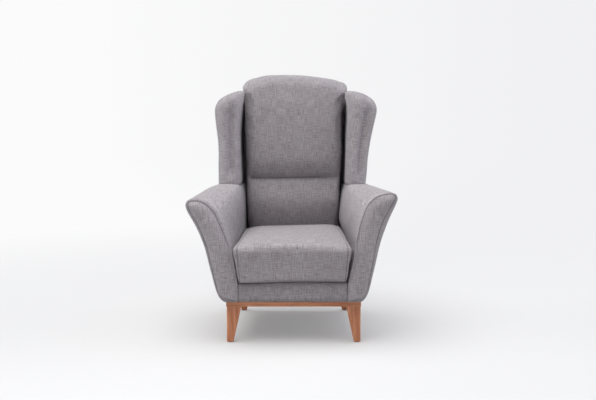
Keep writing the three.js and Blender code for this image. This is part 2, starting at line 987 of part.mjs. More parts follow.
addPair("back_post", makePost, frameWood);
addPiece("back_top_rail", makeBackRail(frameTop - backRailHeight), frameWood);
addPiece("back_lower_rail", makeBackRail(railTop + backLowerRailRise), frameWood);
for (let i = 0; i < webbingCount; i += 1) {
  const bottom = railTop + webbingFirstRise + i * webbingSpacing;
  const strap = rakedBoard(
    -postOuterHalf,
    postOuterHalf,
    bottom,
    bottom + webbingWidth,
    webbingBehind,
    webbingThickness,
  );
  addPiece("back_webbing_" + (i + 1), strap, webbing);
}

// Wings: level sections from the arm's top to the rounded head

// Height, outer side and fall of the front, in shares of wingHeight, wingWidth and wingTopDrop
const wingShares = [
  [0, 0.75, 0],
  [0.1, 0.775, 0],
  [0.3, 0.81, 0],
  [0.5, 0.87, 0],
  [0.68, 0.965, 0],
  [0.78, 1, 0.02],
  [0.86, 0.965, 0.08],
  [0.9, 0.9, 0.15],
  [0.94, 0.75, 0.3],
  [0.97, 0.55, 0.5],
  [0.99, 0.3, 0.72],
  [1, 0.18, 0.88],
];
const wingFrontSteps = 12;
const wingFullness = 0.75;

function wingRing(side, height, outer, drop) {
  const half = (outer * wingWidth) / 2;
  const middle = seatRearHalf + half;
  const rear = backFace(height) - backPanelThickness - clearance;
  const front = backFace(height) - wingReach + drop * wingTopDrop;
  const corner = Math.min(wingRearRound, half / 2);
  const points = [];
  for (let i = 0; i <= wingFrontSteps; i += 1) {
    const angle = (Math.PI * i) / wingFrontSteps;
    const cos = Math.cos(angle);
    const across = Math.sign(cos) * Math.abs(cos) ** wingFullness;
    const back = wingFrontRound * (1 - Math.sin(angle) ** wingFullness);
    points.push([middle - half * across, front + back]);
  }
  points.push([middle + half, rear - corner]);
  points.push([middle + half - corner, rear]);
  points.push([middle - half + corner, rear]);
  points.push([middle - half, rear - corner]);
  return points.map(([x, y]) => new THREE.Vector3(side * x, y, height));
}

function wingSkin(side) {
  const rings = wingShares.map(([up, outer, drop]) =>
    wingRing(side, wingBottom + up * wingHeight, outer, drop),
  );
  return loft(rings);
}

function makeWingCover(side) {
  const skin = wingSkin(side);
  const mouth = shrunk(skin, wingMouthMargin);
  mouth.translate(0, 0, -wingMouthMargin - clothThickness);
  return solidOf(skin)
    .subtract(solidOf(shrunk(skin, clothThickness)))
    .subtract(solidOf(mouth).intersect(wingMouthBand()));
}

// The band of height in which a wing's cover is open below
function wingMouthBand() {
  const half = seatRearHalf + wingWidth + overrun;
  const y1 = backFace(wingTop) + overrun;
  const top = wingBottom + wingMouthDepth;
  return solidOf(box(-half, half, armFront, y1, wingBottom - overrun, top));
}

function makeWingFoam(side) {
  const foamSkin = shrunk(wingSkin(side), clothThickness + foamGap);
  return solidOf(foamSkin).subtract(wingPanel(side, clearance));
}

// Outside back: a thin panel over the rear of the frame, just inside the outline of arms and wings

function makeBackPanel() {
  const arm = armOutline(armRear, 0).slice(0, armTipPoint);
  const wing = wingShares.map(
    ([up, outer]) => new THREE.Vector2(seatRearHalf + outer * wingWidth, wingBottom + up * wingHeight),
  );
  const right = [...arm, ...wing];
  const left = right.map((point) => new THREE.Vector2(-point.x, point.y)).reverse();
  const outline = insetOutline([...right, ...left], backPanelMargin);
  const rear = insetOutline(outline, backPanelEdge);
  return loft([
    uprightRing(outline, 1, plinthDepth - backPanelThickness, 1),
    uprightRing(outline, 1, plinthDepth - backPanelEdge, 1),
    uprightRing(rear, 1, plinthDepth, 1),
  ]);
}
addPiece("outside_back", makeBackPanel(), cloth);

addPair("wing_panel", (side) => wingPanel(side, 0), plywood);
addPair("wing_foam", makeWingFoam, foam);
addPair("wing_cover", makeWingCover, cloth);

// Back pad: level sections from behind the cushion to the head over the wings' tops

// Height, reach, half width and rear of the pad below the saddle over the frame
const padBodyShares = [
  [0, 0.49, 0.91],
  [0.045, 0.62, 0.97],
  [0.143, 0.73, 1],
  [0.227, 0.86, 1.005],
  [0.312, 0.93, 1.005],
  [0.38, 0.935, 1.005],
  [0.44, 0.895, 1],
  [0.467, 0.845, 0.988],
  [0.494, 0.91, 0.998],
  [0.567, 0.98, 1],
  [0.72, 1, 1],
  [0.86, 0.975, 1],
  [1, 0.885, 1],
];

// Height over the wings' top, reach and half width of the head, in shares of the head's sizes
const padHeadShares = [
  [0.06, 0.87, 0.97, 1],
  [0.13, 0.86, 1, 1],
  [0.32, 0.81, 0.962, 0.98],
  [0.6, 0.73, 0.85, 0.9],
  [0.86, 0.6, 0.5, 0.75],
  [1, 0.47, 0.15, 0.6],
];
const padNeckReachShare = 0.88; // of the section under the head
const padCornerShares = [0.17, 0.45];
const padArcSteps = 3;

function padRing(height, reachShare, half, rearShare) {
  const front = backFace(height) - padReach * reachShare;
  const nearRear = webbingBehind + webbingThickness + clearance;
  const rear = backFace(height) - mix(nearRear, padRearGap, rearShare);
  const middle = (front + rear) / 2;
  return roundedShares(...padCornerShares, padArcSteps).map(
    ([across, along]) =>
      new THREE.Vector3(half * across, middle + along * (rear - middle), height),
  );
}

function padSkin() {
  const rings = padBodyShares.map(([up, reach, half]) =>
    padRing(mix(padBottom, saddleBottom, up), reach, half * padHalfWidth, 0),
  );
  rings.push(padRing(headBottom, padNeckReachShare, padHalfWidth, 1));
  for (const [up, reach, half, rear] of padHeadShares) {
    rings.push(padRing(headBottom + up * padHeadHeight, reach, half * padHeadHalfWidth, rear));
  }
  return loft(rings);
}

function makePadCover() {
  const skin = padSkin();
  const mouthBottom = padBottom + padMouthBottomRise;
  const mouth = rakedBoard(
    -padMouthHalf,
    padMouthHalf,
    mouthBottom,
    mouthBottom + padMouthHeight,
    webbingBehind,
    padMouthDepth,
  );
  return solidOf(skin)
    .subtract(solidOf(shrunk(skin, clothThickness)))
    .subtract(solidOf(mouth));
}

addPiece("back_pad_foam", shrunk(padSkin(), clothThickness + foamGap), foam);
addPiece("back_pad_cover", makePadCover(), cloth);

// Seat cushion: level rings up the boxing, then in over the crown

// Width about the middle, then height in shares of cushionEdgeHeight and of cushionCrown
const cushionShares = [
  [0.9, 0, 0],
  [0.965, 0.018, 0],
  [0.99, 0.08, 0],
  [1, 0.25, 0],
  [1, 0.62, 0],
  [0.995, 0.84, 0],
  [0.975, 0.945, 0],
  [0.93, 1, 0.16],
  [0.84, 1, 0.45],
  [0.68, 1, 0.73],
  [0.46, 1, 0.9],
  [0.2, 1, 1],
];
const cushionCornerShares = [0.13, 0.12];
const cushionCrownCornerShare = 0.6; // the crown's sections grow rounder towards its middle
const cushionArcSteps = 4;

function cushionRing(width, edge, crown) {
  const middle = cushionFront + cushionDepth / 2;
  const corner = cushionCornerShares.map((share) => mix(cushionCrownCornerShare, share, smooth(width)));
  return roundedShares(...corner, cushionArcSteps).map(([across, along]) => {
    const y = middle + (along * cushionDepth) / 2;
    const rearPull = along > 0 ? cushionPull * (1 - across * across) * along : 0;
    const sidePull = cushionPull * (1 - along * along) * Math.abs(across);
    const half = wellHalf(y, edge) - cushionSideGap - sidePull;
    const inY = mix(middle, y - rearPull, width);
    const edgeHeight = cushionEdgeHeight + (cushionRearRise * (inY - cushionFront)) / cushionDepth;
    return new THREE.Vector3(
      half * across * width,
      inY,
      cushionBottom + edge * edgeHeight + crown * cushionCrown,
    );
  });
}

function cushionSkin() {
  return loft(cushionShares.map((row) => cushionRing(...row)));
}

// The stretch of the rear boxing that the zip takes up, made smaller by a gap
function zipRoom(gap) {
  const rear = cushionFront + cushionDepth;
  const half = zipLength / 2 - gap;
  const bottom = cushionBottom + zipRise + gap;
  const top = cushionBottom + zipRise + zipHeight - gap;
  return solidOf(box(-half, half, rear - overrun, rear + overrun, bottom, top));
}

function cushionShell() {
  const skin = cushionSkin();
  return solidOf(skin).subtract(solidOf(shrunk(skin, clothThickness)));
}

const cushionFoam = shrunk(cushionSkin(), clothThickness + foamGap);
addPiece("seat_cushion_foam", cushionFoam, foam);
addPiece("seat_cushion_cover", cushionShell().subtract(zipRoom(0)), cloth);
addPiece("seat_cushion_zip", cushionShell().intersect(zipRoom(clearance)), blackPlastic);

// The origin goes to the floor under the middle of the chair
const room = new THREE.Box3().setFromObject(chair);
const centre = room.getCenter(new THREE.Vector3());
chair.position.set(-centre.x, -centre.y, -room.min.z);

export default chair;
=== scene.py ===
import bpy
import numpy as np
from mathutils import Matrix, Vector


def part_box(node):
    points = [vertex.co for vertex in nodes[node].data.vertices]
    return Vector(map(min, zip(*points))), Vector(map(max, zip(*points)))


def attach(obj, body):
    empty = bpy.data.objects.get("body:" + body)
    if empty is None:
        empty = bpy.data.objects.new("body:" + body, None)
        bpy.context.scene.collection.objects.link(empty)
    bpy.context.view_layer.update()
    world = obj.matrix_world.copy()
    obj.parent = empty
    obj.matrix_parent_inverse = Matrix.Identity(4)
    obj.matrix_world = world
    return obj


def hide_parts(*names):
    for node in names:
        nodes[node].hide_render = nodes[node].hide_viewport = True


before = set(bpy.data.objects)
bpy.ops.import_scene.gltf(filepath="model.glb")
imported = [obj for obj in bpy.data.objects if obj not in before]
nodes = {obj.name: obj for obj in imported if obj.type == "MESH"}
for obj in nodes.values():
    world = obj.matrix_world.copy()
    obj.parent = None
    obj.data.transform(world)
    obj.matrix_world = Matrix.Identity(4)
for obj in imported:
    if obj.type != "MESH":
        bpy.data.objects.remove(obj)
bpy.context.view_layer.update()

# Legs and plinth: four tapered legs screwed up under a low frame, all in solid beech.
# Each piece is cut along its grain, sanded, stained orange-brown and given a satin lacquer.


def linear(hex_colour):
    """An sRGB hex colour as the linear red, green, blue and alpha that a shader takes."""
    value = np.array([int(hex_colour[i : i + 2], 16) for i in (1, 3, 5)]) / 255
    straight = np.where(value <= 0.04045, value / 12.92, ((value + 0.055) / 1.055) ** 2.4)
    return (*straight.tolist(), 1.0)


def add(material, kind, inputs=None, **settings):
    """Adds a shader node, sets it, and links or fills its inputs. An input is named, or numbered from 0."""
    node = material.node_tree.nodes.new("ShaderNode" + kind)
    for name, value in settings.items():
        setattr(node, name, value)
    for name, value in (inputs or {}).items():
        if isinstance(value, bpy.types.NodeSocket):
            material.node_tree.links.new(value, node.inputs[name])
        else:
            node.inputs[name].default_value = value
    return node


def new_material(name):
    """A material with no nodes yet."""
    material = bpy.data.materials.new(name)
    material.use_nodes = True
    material.node_tree.nodes.clear()
    return material


def finished(material, surface, tone, bump):
    """Gives a material its surface: one Principled shader with these inputs, a tone and a bump."""
    inputs = {**surface, "Base Color": tone.outputs[2], "Normal": bump.outputs["Normal"]}
    shader = add(material, "BsdfPrincipled", inputs)
    add(material, "OutputMaterial", {"Surface": shader.outputs["BSDF"]})
    return material


def stained_beech(name, along):
    """Beech with its grain along one axis. Broad grain bands, fine pores and short dark ray flecks."""
    lacquered = {"Roughness": 0.42, "IOR": 1.5, "Coat Weight": 0.25, "Coat Roughness": 0.3}
    material = new_material(name)
    place = add(material, "TexCoord").outputs["Object"]

    def grain(across, length, detail):
        """Noise with spots of this size in metres, across and along the grain."""
        scale = [1 / across] * 3
        scale[along] = 1 / length
        stretched = add(material, "Mapping", {"Vector": place, "Scale": scale})
        inputs = {"Vector": stretched.outputs["Vector"], "Scale": 1.0, "Detail": detail, "Distortion": 0.6}
        return add(material, "TexNoise", inputs).outputs["Fac"]

    bands = add(material, "MapRange", {"Value": grain(0.008, 0.14, 3.0), "From Min": 0.3, "From Max": 0.7})
    tones = {0: bands.outputs["Result"], 6: linear("#ab6440"), 7: linear("#d8946a")}
    warm = add(material, "Mix", tones, data_type="RGBA").outputs[2]
    flecks = add(material, "MapRange", {"Value": grain(0.0011, 0.009, 1.0), "From Min": 0.58, "From Max": 0.75})
    tones = {0: flecks.outputs["Result"], 6: warm, 7: linear("#8a4d2f")}
    flecked = add(material, "Mix", tones, data_type="RGBA")
    pores = add(material, "Bump", {"Strength": 0.12, "Distance": 0.0004, "Height": grain(0.0008, 0.012, 2.0)})
    return finished(material, lacquered, flecked, pores)


def dress(material, *names):
    """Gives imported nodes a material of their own."""
    for name in names:
        node = nodes[name]
        node.data.materials.clear()
        node.data.materials.append(material)


sides = ("left", "right")
ends = [end + "_" + side for end in ("front", "rear") for side in sides]
ways = ("across", "front_to_back", "upright")
beech_across, beech_deep, beech_upright = (stained_beech("stained_beech_" + ways[i], i) for i in range(3))
dress(beech_upright, *["leg_" + end for end in ends])
dress(beech_across, "plinth_front_rail", "plinth_rear_rail")
dress(beech_deep, *["plinth_side_rail_" + side for side in sides])

# Glides and leg bolts: a moulded nylon glide is nailed under each foot, and a zinc-plated hanger bolt
# runs up through each leg, the plinth and a corner block of the seat frame. The seat springs, of hard
# drawn wire, are plated too.


def mottled(name, surface, scale, detail, dark, pale, bump, stretch=(1, 1, 1), distortion=0.0):
    """A surface with one fine random pattern of about scale spots a metre, fewer along a stretched axis. The
    pattern carries the tone from dark to pale, and stands up by a bump of this strength and height."""
    material = new_material(name)
    place = add(material, "TexCoord").outputs["Object"]
    stretched = add(material, "Mapping", {"Vector": place, "Scale": stretch}).outputs["Vector"]
    inputs = {"Vector": stretched, "Scale": scale, "Detail": detail, "Distortion": distortion}
    pattern = add(material, "TexNoise", inputs).outputs["Fac"]
    tone = add(material, "Mix", {0: pattern, 6: linear(dark), 7: linear(pale)}, data_type="RGBA")
    raised = add(material, "Bump", {"Strength": bump[0], "Distance": bump[1], "Height": pattern})
    return finished(material, surface, tone, raised)


# Moulded nylon looks dull, with the finest of grains, and zinc plating is faintly clouded
moulded = {"Roughness": 0.5, "IOR": 1.53}
nylon = mottled("black_moulded_nylon", moulded, 1600.0, 2.0, "#161617", "#242426", (0.15, 0.0002))
plated = {"Metallic": 1.0, "Roughness": 0.35}
zinc = mottled("zinc_plated_steel", plated, 220.0, 3.0, "#a9adb1", "#c6c8c4", (0.1, 0.0001))
dress(nylon, *["glide_" + end for end in ends])
dress(zinc, *["leg_bolt_" + end for end in ends], *["seat_spring_" + str(i + 1) for i in range(4)])

# Inner frame: planed bare hardwood for the seat, back and arm rails, and sawn plywood for the arm fronts
# and wings, glued and screwed together. The covers hide nearly all of it.
bare = {"Roughness": 0.75, "IOR": 1.5}
grain = {"bump": (0.2, 0.0003), "stretch": (0.12, 1, 1), "distortion": 0.5}

# Both show a soft grain, in bands 9 mm wide on the beech and in plies of 2.8 mm on the plywood
bare_beech = mottled("planed_bare_beech", bare, 1 / 0.009, 3.0, "#b98f62", "#d9bd92", **grain)
plywood = mottled("sawn_birch_plywood", bare, 1 / 0.0028, 3.0, "#a98660", "#dcc7a0", **grain)
dress(bare_beech, "seat_rail_front", "seat_rail_rear", "back_top_rail", "back_lower_rail")
dress(bare_beech, *["corner_block_" + end for end in ends])
for part in ("seat_rail_", "back_post_", "arm_rail_"):
    dress(bare_beech, *[part + side for side in sides])
dress(plywood, *["wing_panel_" + side for side in sides])

# Dust cover and back webbing: a black spunbond sheet is stapled under the seat frame, and ribbed elastic
# webbing runs across the back frame. Both are dull, with a nap 1.2 mm coarse.
fibre, nap_bump = {"Roughness": 0.95, "Sheen Weight": 0.1}, (0.4, 0.0004)
spunbond = mottled("black_spunbond_lining", fibre, 1 / 0.0012, 3.0, "#121213", "#2b2b2e", nap_bump)
dress(spunbond, "dust_cover", *["back_webbing_" + str(i + 1) for i in range(3)])

# Seat deck: a felt pad under black lining cloth, stretched over the springs. It shows when the cushion
# is lifted out, and sags a little between the springs.
mm = 0.001
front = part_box("plinth_front_rail")[0].y
body_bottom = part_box("arm_cover_left")[0].z


def skin(name, rings, uv, material, seam=0):
    """A closed mesh through rings of points. Point i of an end ring is joined to its partner, the i-th from
    the ring's other end, which shuts the ring. The faces are turned outwards by the sign of the volume. Each
    keeps its place on the flat cloth, and each point how far it lies in a seam's shade."""
    count, around = rings.shape[:2]
    ring, i = np.meshgrid(np.arange(count - 1), np.arange(around), indexing="ij")
    step = (i + 1) % around
    this_ring, next_ring = ring * around, (ring + 1) * around
    wall = np.stack([this_ring + i, this_ring + step, next_ring + step, next_ring + i]).reshape(4, -1).T
    half = np.arange(around // 2 - 1)
    cap = np.stack([half + 1, half, around - 1 - half, around - 2 - half], 1)
    faces = np.concatenate([wall, cap, cap[:, ::-1] + (count - 1) * around])
    points = rings.reshape(-1, 3)
    a, b, c, d = (points[faces[:, k]] for k in range(4))
    volume = (np.cross(b - a, c - a) * a + np.cross(c - a, d - a) * a).sum()
    if volume < 0:
        faces = faces[:, ::-1]
    mesh = bpy.data.meshes.new(name)
    mesh.from_pydata(points.tolist(), [], faces.tolist())
    corner_point = faces.ravel()
    wrapped = uv[:, :around].reshape(-1, 2)[corner_point]
    first = (corner_point % around == 0).reshape(-1, 4)
    last = (corner_point % around == around - 1).reshape(-1, 4).any(1)[:, None]
    closing = (first & last & (np.arange(len(faces)) < len(wall))[:, None]).ravel()
    wrapped[closing] = uv[corner_point[closing] // around, around]
    mesh.uv_layers.new(name="cloth").data.foreach_set("uv", wrapped.astype(np.float32).ravel())
    shade = np.broadcast_to(seam, rings.shape[:2]).astype(np.float32).ravel()
    mesh.attributes.new("seam", "FLOAT", "POINT").data.foreach_set("value", shade)
    mesh.shade_smooth()
    mesh.materials.append(material)
    piece = bpy.data.objects.new(name, mesh)
    bpy.context.scene.collection.objects.link(piece)
    return piece


def run_along(points):
    """The length run along rows of points, from 0 at the first row."""
    steps = np.linalg.norm(np.diff(points, axis=0), axis=-1)
    return np.concatenate([np.zeros_like(steps[:1]), steps.cumsum(0)])


def unrolled(rings):
    """Places on the flat cloth in metres: across is the length run along the rings' own points from the
    middle ring, and up is the length round the middle ring."""
    middle = len(rings) // 2
    across = run_along(rings)
    across = across - across[middle]
    up = run_along(np.concatenate([rings[middle], rings[middle][:1]]))
    across = np.concatenate([across, across[:, :1]], 1)
    return np.stack([across, np.broadcast_to(up, across.shape)], 2)


def hermite(start, end, leaving, arriving, t):
    """The cubic from start to end with these slopes."""
    rest = 1 - t
    return (
        (1 + 2 * t) * rest * rest * start
        + t * rest * rest * leaving
        + t * t * (3 - 2 * t) * end
        - t * t * rest * arriving
    )


def through(places, rows, at):
    """Values at new places on a smooth curve through rows given at their places: a cubic between each two,
    whose slope at a row is the mean of those on its two sides, weighted to the nearer."""
    places, rows, at = (np.asarray(a, float) for a in (places, rows, at))
    upright = (-1,) + (1,) * (rows.ndim - 1)
    steps = np.diff(places).reshape(upright)
    slopes = np.diff(rows, axis=0) / steps
    middle = (slopes[:-1] * steps[1:] + slopes[1:] * steps[:-1]) / (steps[:-1] + steps[1:])
    slopes = np.concatenate([slopes[:1], middle, slopes[-1:]])
    i = np.clip(np.searchsorted(places, at, side="right") - 1, 0, len(steps) - 1)
    t = (np.clip(at, places[0], places[-1]) - places[i]).reshape(upright) / steps[i]
    return hermite(rows[i], rows[i + 1], slopes[i] * steps[i], slopes[i + 1] * steps[i], t)


def round_through(keys, at):
    """Points on a closed curve through key points, at places counted in keys. At a key the curve runs
    parallel to the line between its two neighbours, as fast as the shorter stretch beside it."""
    ahead = np.roll(keys, -1, -2) - keys
    behind = np.roll(ahead, 1, -2)
    chord = ahead + behind
    reach, shorter, other = (np.linalg.norm(v, axis=-1, keepdims=True) for v in (chord, ahead, behind))
    tangent = chord / np.maximum(reach, 1e-9) * np.minimum(shorter, other)
    i = np.floor(at).astype(int) % keys.shape[-2]
    j = (i + 1) % keys.shape[-2]
    return hermite(keys[..., i, :], keys[..., j, :], tangent[..., i, :], tangent[..., j, :], (at % 1)[:, None])


def two_sided(keys, turn, count):
    """Places round a closed outline with count points on each of its two sides, evenly spaced. One side runs
    from the first key to the turn, the other back, and each starts and ends half a step away."""
    finely = 64
    fine = np.arange(len(keys) * finely + 1) / finely
    length = run_along(round_through(keys, fine))
    half = (np.arange(count) + 0.5) / count
    at_turn = length[turn * finely]
    wanted = np.concatenate([half * at_turn, at_turn + half * (length[-1] - at_turn)])
    return np.interp(wanted, length, fine)


def midline(outline, low, high):
    """For each point of a two-sided outline, the middle between it and its partner on the other side, held
    back from the outline's ends to between these shares of its height."""
    half = outline.shape[0] // 2
    middle = (outline[:half] + outline[::-1][:half]) / 2
    held = middle[np.clip(np.arange(half), round(low * half), round(high * half))]
    return np.concatenate([held, held[::-1]])


def smooth(value, low, high):
    """Eases from 0 at low to 1 at high."""
    t = np.clip((value - low) / (high - low), 0, 1)
    return t * t * (3 - 2 * t)


deck_low, deck_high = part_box("seat_deck_pad")
deck_edge = 6 * mm
deck_sag = 3 * mm
spring_spacing = 90 * mm
shoulder = deck_high.z - deck_edge
deck_keys = [(deck_high.y, deck_low.z), (deck_low.y, deck_low.z), (deck_low.y, shoulder)]
deck_keys += [(deck_low.y + deck_edge, deck_high.z), (deck_high.y - deck_edge, deck_high.z)]
deck_keys = np.array([*deck_keys, (deck_high.y, shoulder)])
outline = round_through(deck_keys, two_sided(deck_keys, turn=2, count=90))
across = np.linspace(-1, 1, 61)
rings = np.empty((len(across), len(outline), 3))
rings[..., 0] = (across * deck_high.x)[:, None]
rings[..., 1:] = outline
deck_top = smooth(outline[:, 1], deck_low.z + deck_edge, deck_high.z)
spring_place = np.cos(across * deck_high.x / spring_spacing * 2 * np.pi)
rings[..., 2] -= deck_sag / 2 * (1 + spring_place)[:, None] * deck_top
lining_cloth = mottled("black_cotton_lining", fibre, 1 / 0.0009, 3.0, "#121213", "#2b2b2e", nap_bump)
seat_deck = skin("seat_deck", rings, unrolled(rings), lining_cloth)
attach(seat_deck, "chair")
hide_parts("seat_deck_pad")

# Front border: a strip of the covering cloth over thin padding on the front seat rail, under the cushion.
# The cloth is a plain weave of grey chenille and linen yarn: soft slubs along both threads, pale flecks.


def woven_cloth(name):
    """Yarns 1.3 mm apart, slubs a few yarns wide, pale and dark flecks, and seams that lie in shade.
    Slubs and flecks are drawn two to three yarns wide, because single yarns are too fine to show."""
    surface = {"Roughness": 0.9, "IOR": 1.45, "Specular IOR Level": 0.25}
    downy = {"Sheen Weight": 0.22, "Sheen Roughness": 0.45}
    material = new_material(name)
    flat = add(material, "UVMap", uv_map="cloth").outputs["UV"]

    def yarns(across, up, detail):
        """Noise with spots of this size in metres, across and up the cloth."""
        scaled = add(material, "Mapping", {"Vector": flat, "Scale": (1 / across, 1 / up, 1.0)})
        inputs = {"Vector": scaled.outputs["Vector"], "Scale": 1.0, "Detail": detail, "Roughness": 0.6}
        return add(material, "TexNoise", inputs, noise_dimensions="2D").outputs["Fac"]

    def sum_of(a, b, share):
        """The first and a share of the second."""
        scaled = add(material, "Math", {0: b, 1: share}, operation="MULTIPLY").outputs[0]
        return add(material, "Math", {0: a, 1: scaled}, operation="ADD").outputs[0]

    warp = yarns(0.0024, 0.04, 1.0)
    weft = yarns(0.04, 0.0024, 1.0)
    fleck = yarns(0.0029, 0.0029, 2.0)
    cloud = yarns(0.09, 0.09, 2.0)
    mixed = sum_of(sum_of(sum_of(warp, weft, 0.9), fleck, 1.2), cloud, 0.2)
    tone = add(material, "MapRange", {"Value": mixed, "From Min": 1.05, "From Max": 2.25})
    tones = {0: tone.outputs["Result"], 6: linear("#777176"), 7: linear("#c5bfc3")}
    grey = add(material, "Mix", tones, data_type="RGBA").outputs[2]
    seam = add(material, "Attribute", attribute_name="seam").outputs["Fac"]
    shaded = add(material, "Mix", {0: seam, 6: grey, 7: linear("#4a464b")}, data_type="RGBA")

    pitch = 2 * np.pi / 0.0013
    parts = add(material, "SeparateXYZ", {"Vector": flat}).outputs
    waves = []
    for axis in ("X", "Y"):
        turns = add(material, "Math", {0: parts[axis], 1: pitch}, operation="MULTIPLY").outputs[0]
        waves.append(add(material, "Math", {0: turns}, operation="SINE").outputs[0])
    weave = add(material, "Math", {0: waves[0], 1: waves[1]}, operation="MULTIPLY").outputs[0]
    height = sum_of(sum_of(weave, mixed, 1.2), fleck, 1.0)
    bump = add(material, "Bump", {"Strength": 0.55, "Distance": 0.0009, "Height": height})
    return finished(material, {**surface, **downy}, shaded, bump)


cloth = woven_cloth("grey_chenille_linen_weave")


def drift(u, v, longest, seed):
    """A smooth random field of about -1 to 1: waves of several directions, none longer than the given length."""
    waves = 9
    picks = np.random.default_rng(seed)
    total = np.zeros(np.broadcast(u, v).shape)
    for _ in range(waves):
        angle, phase, size = picks.uniform(0, np.pi), picks.uniform(0, 2 * np.pi), picks.uniform(0.35, 1)
        total += size * np.sin(2 * np.pi / (longest * size) * (u * np.cos(angle) + v * np.sin(angle)) + phase)
    return total / (waves / 2)


def outward(rings):
    """Unit normals of a closed skin's rings, pointing out: the cross product of the steps along and round."""
    along = np.gradient(rings, axis=0)
    around = np.roll(rings, -1, 1) - np.roll(rings, 1, 1)
    normal = np.cross(along, around)
    normal /= np.maximum(np.linalg.norm(normal, axis=2, keepdims=True), 1e-12)
    centre = rings.reshape(-1, 3).mean(0)
    return normal * np.sign((normal * (rings - centre)).sum())


def pushed(rings, amount):
    """Rings moved out along their normals by an amount at each point."""
    return rings + outward(rings) * amount[..., None]


def fold(rings, start, end, width, depth):
    """Presses a soft fold along a straight line: each point sinks by the depth, less with its distance."""
    start, end = np.array(start), np.array(end)
    line = end - start
    along = np.clip(((rings - start) @ line) / (line @ line), 0, 1)
    away = np.linalg.norm(rings - (start + along[..., None] * line), axis=2)
    taper = np.sin(np.pi * np.clip(along * 0.9 + 0.05, 0, 1)) ** 0.5
    return pushed(rings, -depth * np.exp(-((away / width) ** 2)) * taper)


border_low, border_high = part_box("front_border")
border_keys = np.array(
    [(0, 0), (-5, 1.5), (-12, 8), (-16.5, 19), (-17.5, 42), (-16.5, 66), (-12.5, 77), (-8, 79.6), (0, 79.6)]
) * mm + (border_high.y, border_low.z)
outline = round_through(border_keys, two_sided(border_keys, turn=7, count=60))
middle = midline(outline, 0.1, 0.9)
border_spare, border_left, border_droop = 3.5 * mm, 3 * mm, 5 * mm
across = np.sin(np.linspace(-np.pi / 2, np.pi / 2, 121))
border_end = 0.02
rounding = np.clip(1 - np.abs(across), 0, border_end) / border_end
rounding = 0.9 + 0.1 * np.sqrt(1 - (1 - rounding) ** 2)
rings = np.empty((len(across), len(outline), 3))
rings[..., 0] = (across * (border_high.x + border_spare) - border_left)[:, None]
rings[..., 1:] = middle + rounding[:, None, None] * (outline - middle)
ripple = drift(rings[..., 0], rings[..., 2], 0.16, 3)
up = smooth(rings[..., 2], border_low.z, border_high.z)
rings[..., 2] -= border_droop * up * smooth(-rings[..., 0], 0.0, 0.2)
rings = pushed(rings, ripple * 0.8 * mm * smooth(1 - np.abs(across), 0, 0.1)[:, None])
front_border = skin("front_border_strip", rings, unrolled(rings), cloth)
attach(front_border, "chair")
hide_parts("front_border")

# Arms: foam over a timber frame, covered in one piece of cloth from the seat over the top and down the
# outside. They flare outwards to the front, where the cover is sewn round a padded facing.
back_slope = np.tan(np.radians(7))
arm_front = front - 30 * mm
arm_length = 612.7 * mm
flare_length = 340 * mm

# Section of the right arm: across and up at the front, then across and up at the rear, in millimetres. The
# outer side runs up to the tip, and the inner side starts at the inner top.
arm_keys = mm * np.array(
    [
        (236, 165.5, 234, 161.5), (263, 166.5, 257, 162.5), (282, 184, 271, 181), (295, 214, 276, 214),
        (316, 293, 285, 291), (340, 387, 294, 385), (371, 472, 305, 465), (401, 535, 315, 545),
        (410, 562, 319.5, 592), (403, 581, 319, 604), (384, 587, 310, 608.3), (357, 584, 286, 608.3),
        (326, 568, 256, 607.5), (292, 530, 231, 600), (268, 476, 219, 560), (251, 427, 216.5, 470),
        (234, 379, 216, 378), (223, 320, 214, 320), (212, 250, 212, 250), (211, 170, 212, 170),
    ]
)
arm_tip, inner_top = 8, 12
arm_rear_edge = 6 * mm
arm_places = two_sided(arm_keys[:, :2], arm_tip, count=130)


def raked(height):
    """How far the leaning back has gone rearwards at a height."""
    return (height - body_bottom) * back_slope


def inset(outline, amount):
    """Closed outlines moved inwards by amounts, square to themselves."""
    step = np.roll(outline, -1, -2) - np.roll(outline, 1, -2)
    out = np.stack([step[..., 1], -step[..., 0]], -1)
    out /= np.linalg.norm(out, axis=-1, keepdims=True)
    centre = outline.mean(-2, keepdims=True)
    out *= np.sign((out * (outline - centre)).sum((-1, -2), keepdims=True))
    return outline - out * amount


def arm_sections(depth):
    """The arm's outline at each depth behind its front: the front and rear outlines mixed by the flare,
    which eases from all at the front to none behind the flare's length. The outer side eases for longer."""
    key = np.arange(len(arm_keys))
    reach = np.where((key > 2) & (key < 11), 1.2, 1) * flare_length
    share = (1 - smooth(depth[:, None], 0, reach))[..., None]
    keys = arm_keys[:, :2] * share + arm_keys[:, 2:] * (1 - share)
    return round_through(keys, arm_places)


# How far the facing's seam lies inside the arm's outline, at each of the points above, in millimetres
seam_inside = {
    "left": (13, 13, 9, 7, 8, 10, 11, 11, 11, 9, 9, 10, 12, 13, 12, 10, 8, 6, 5, 4),
    "right": (13, 13, 10, 9, 13, 17, 21, 18, 11, 7, 5, 4, 4, 4, 4, 5, 6, 6, 5, 4),
}


def seam_inset(side):
    """The same in metres at every point of the arm's outline, on a smooth curve."""
    closed = np.array(seam_inside[side] + seam_inside[side][:1]) * mm
    return through(np.arange(len(closed)), closed, arm_places)


def seam_shade(away, height):
    """How dark the seam's thread and shadow are at a distance from it. The seam is hidden at the bottom and
    on the inner side below the top of the seat cushion."""
    shown = np.where(arm_places < inner_top, smooth(height, 0.19, 0.25), smooth(height, 0.37, 0.41))
    return 0.5 * np.exp(-((away / (1.8 * mm)) ** 2)) * shown


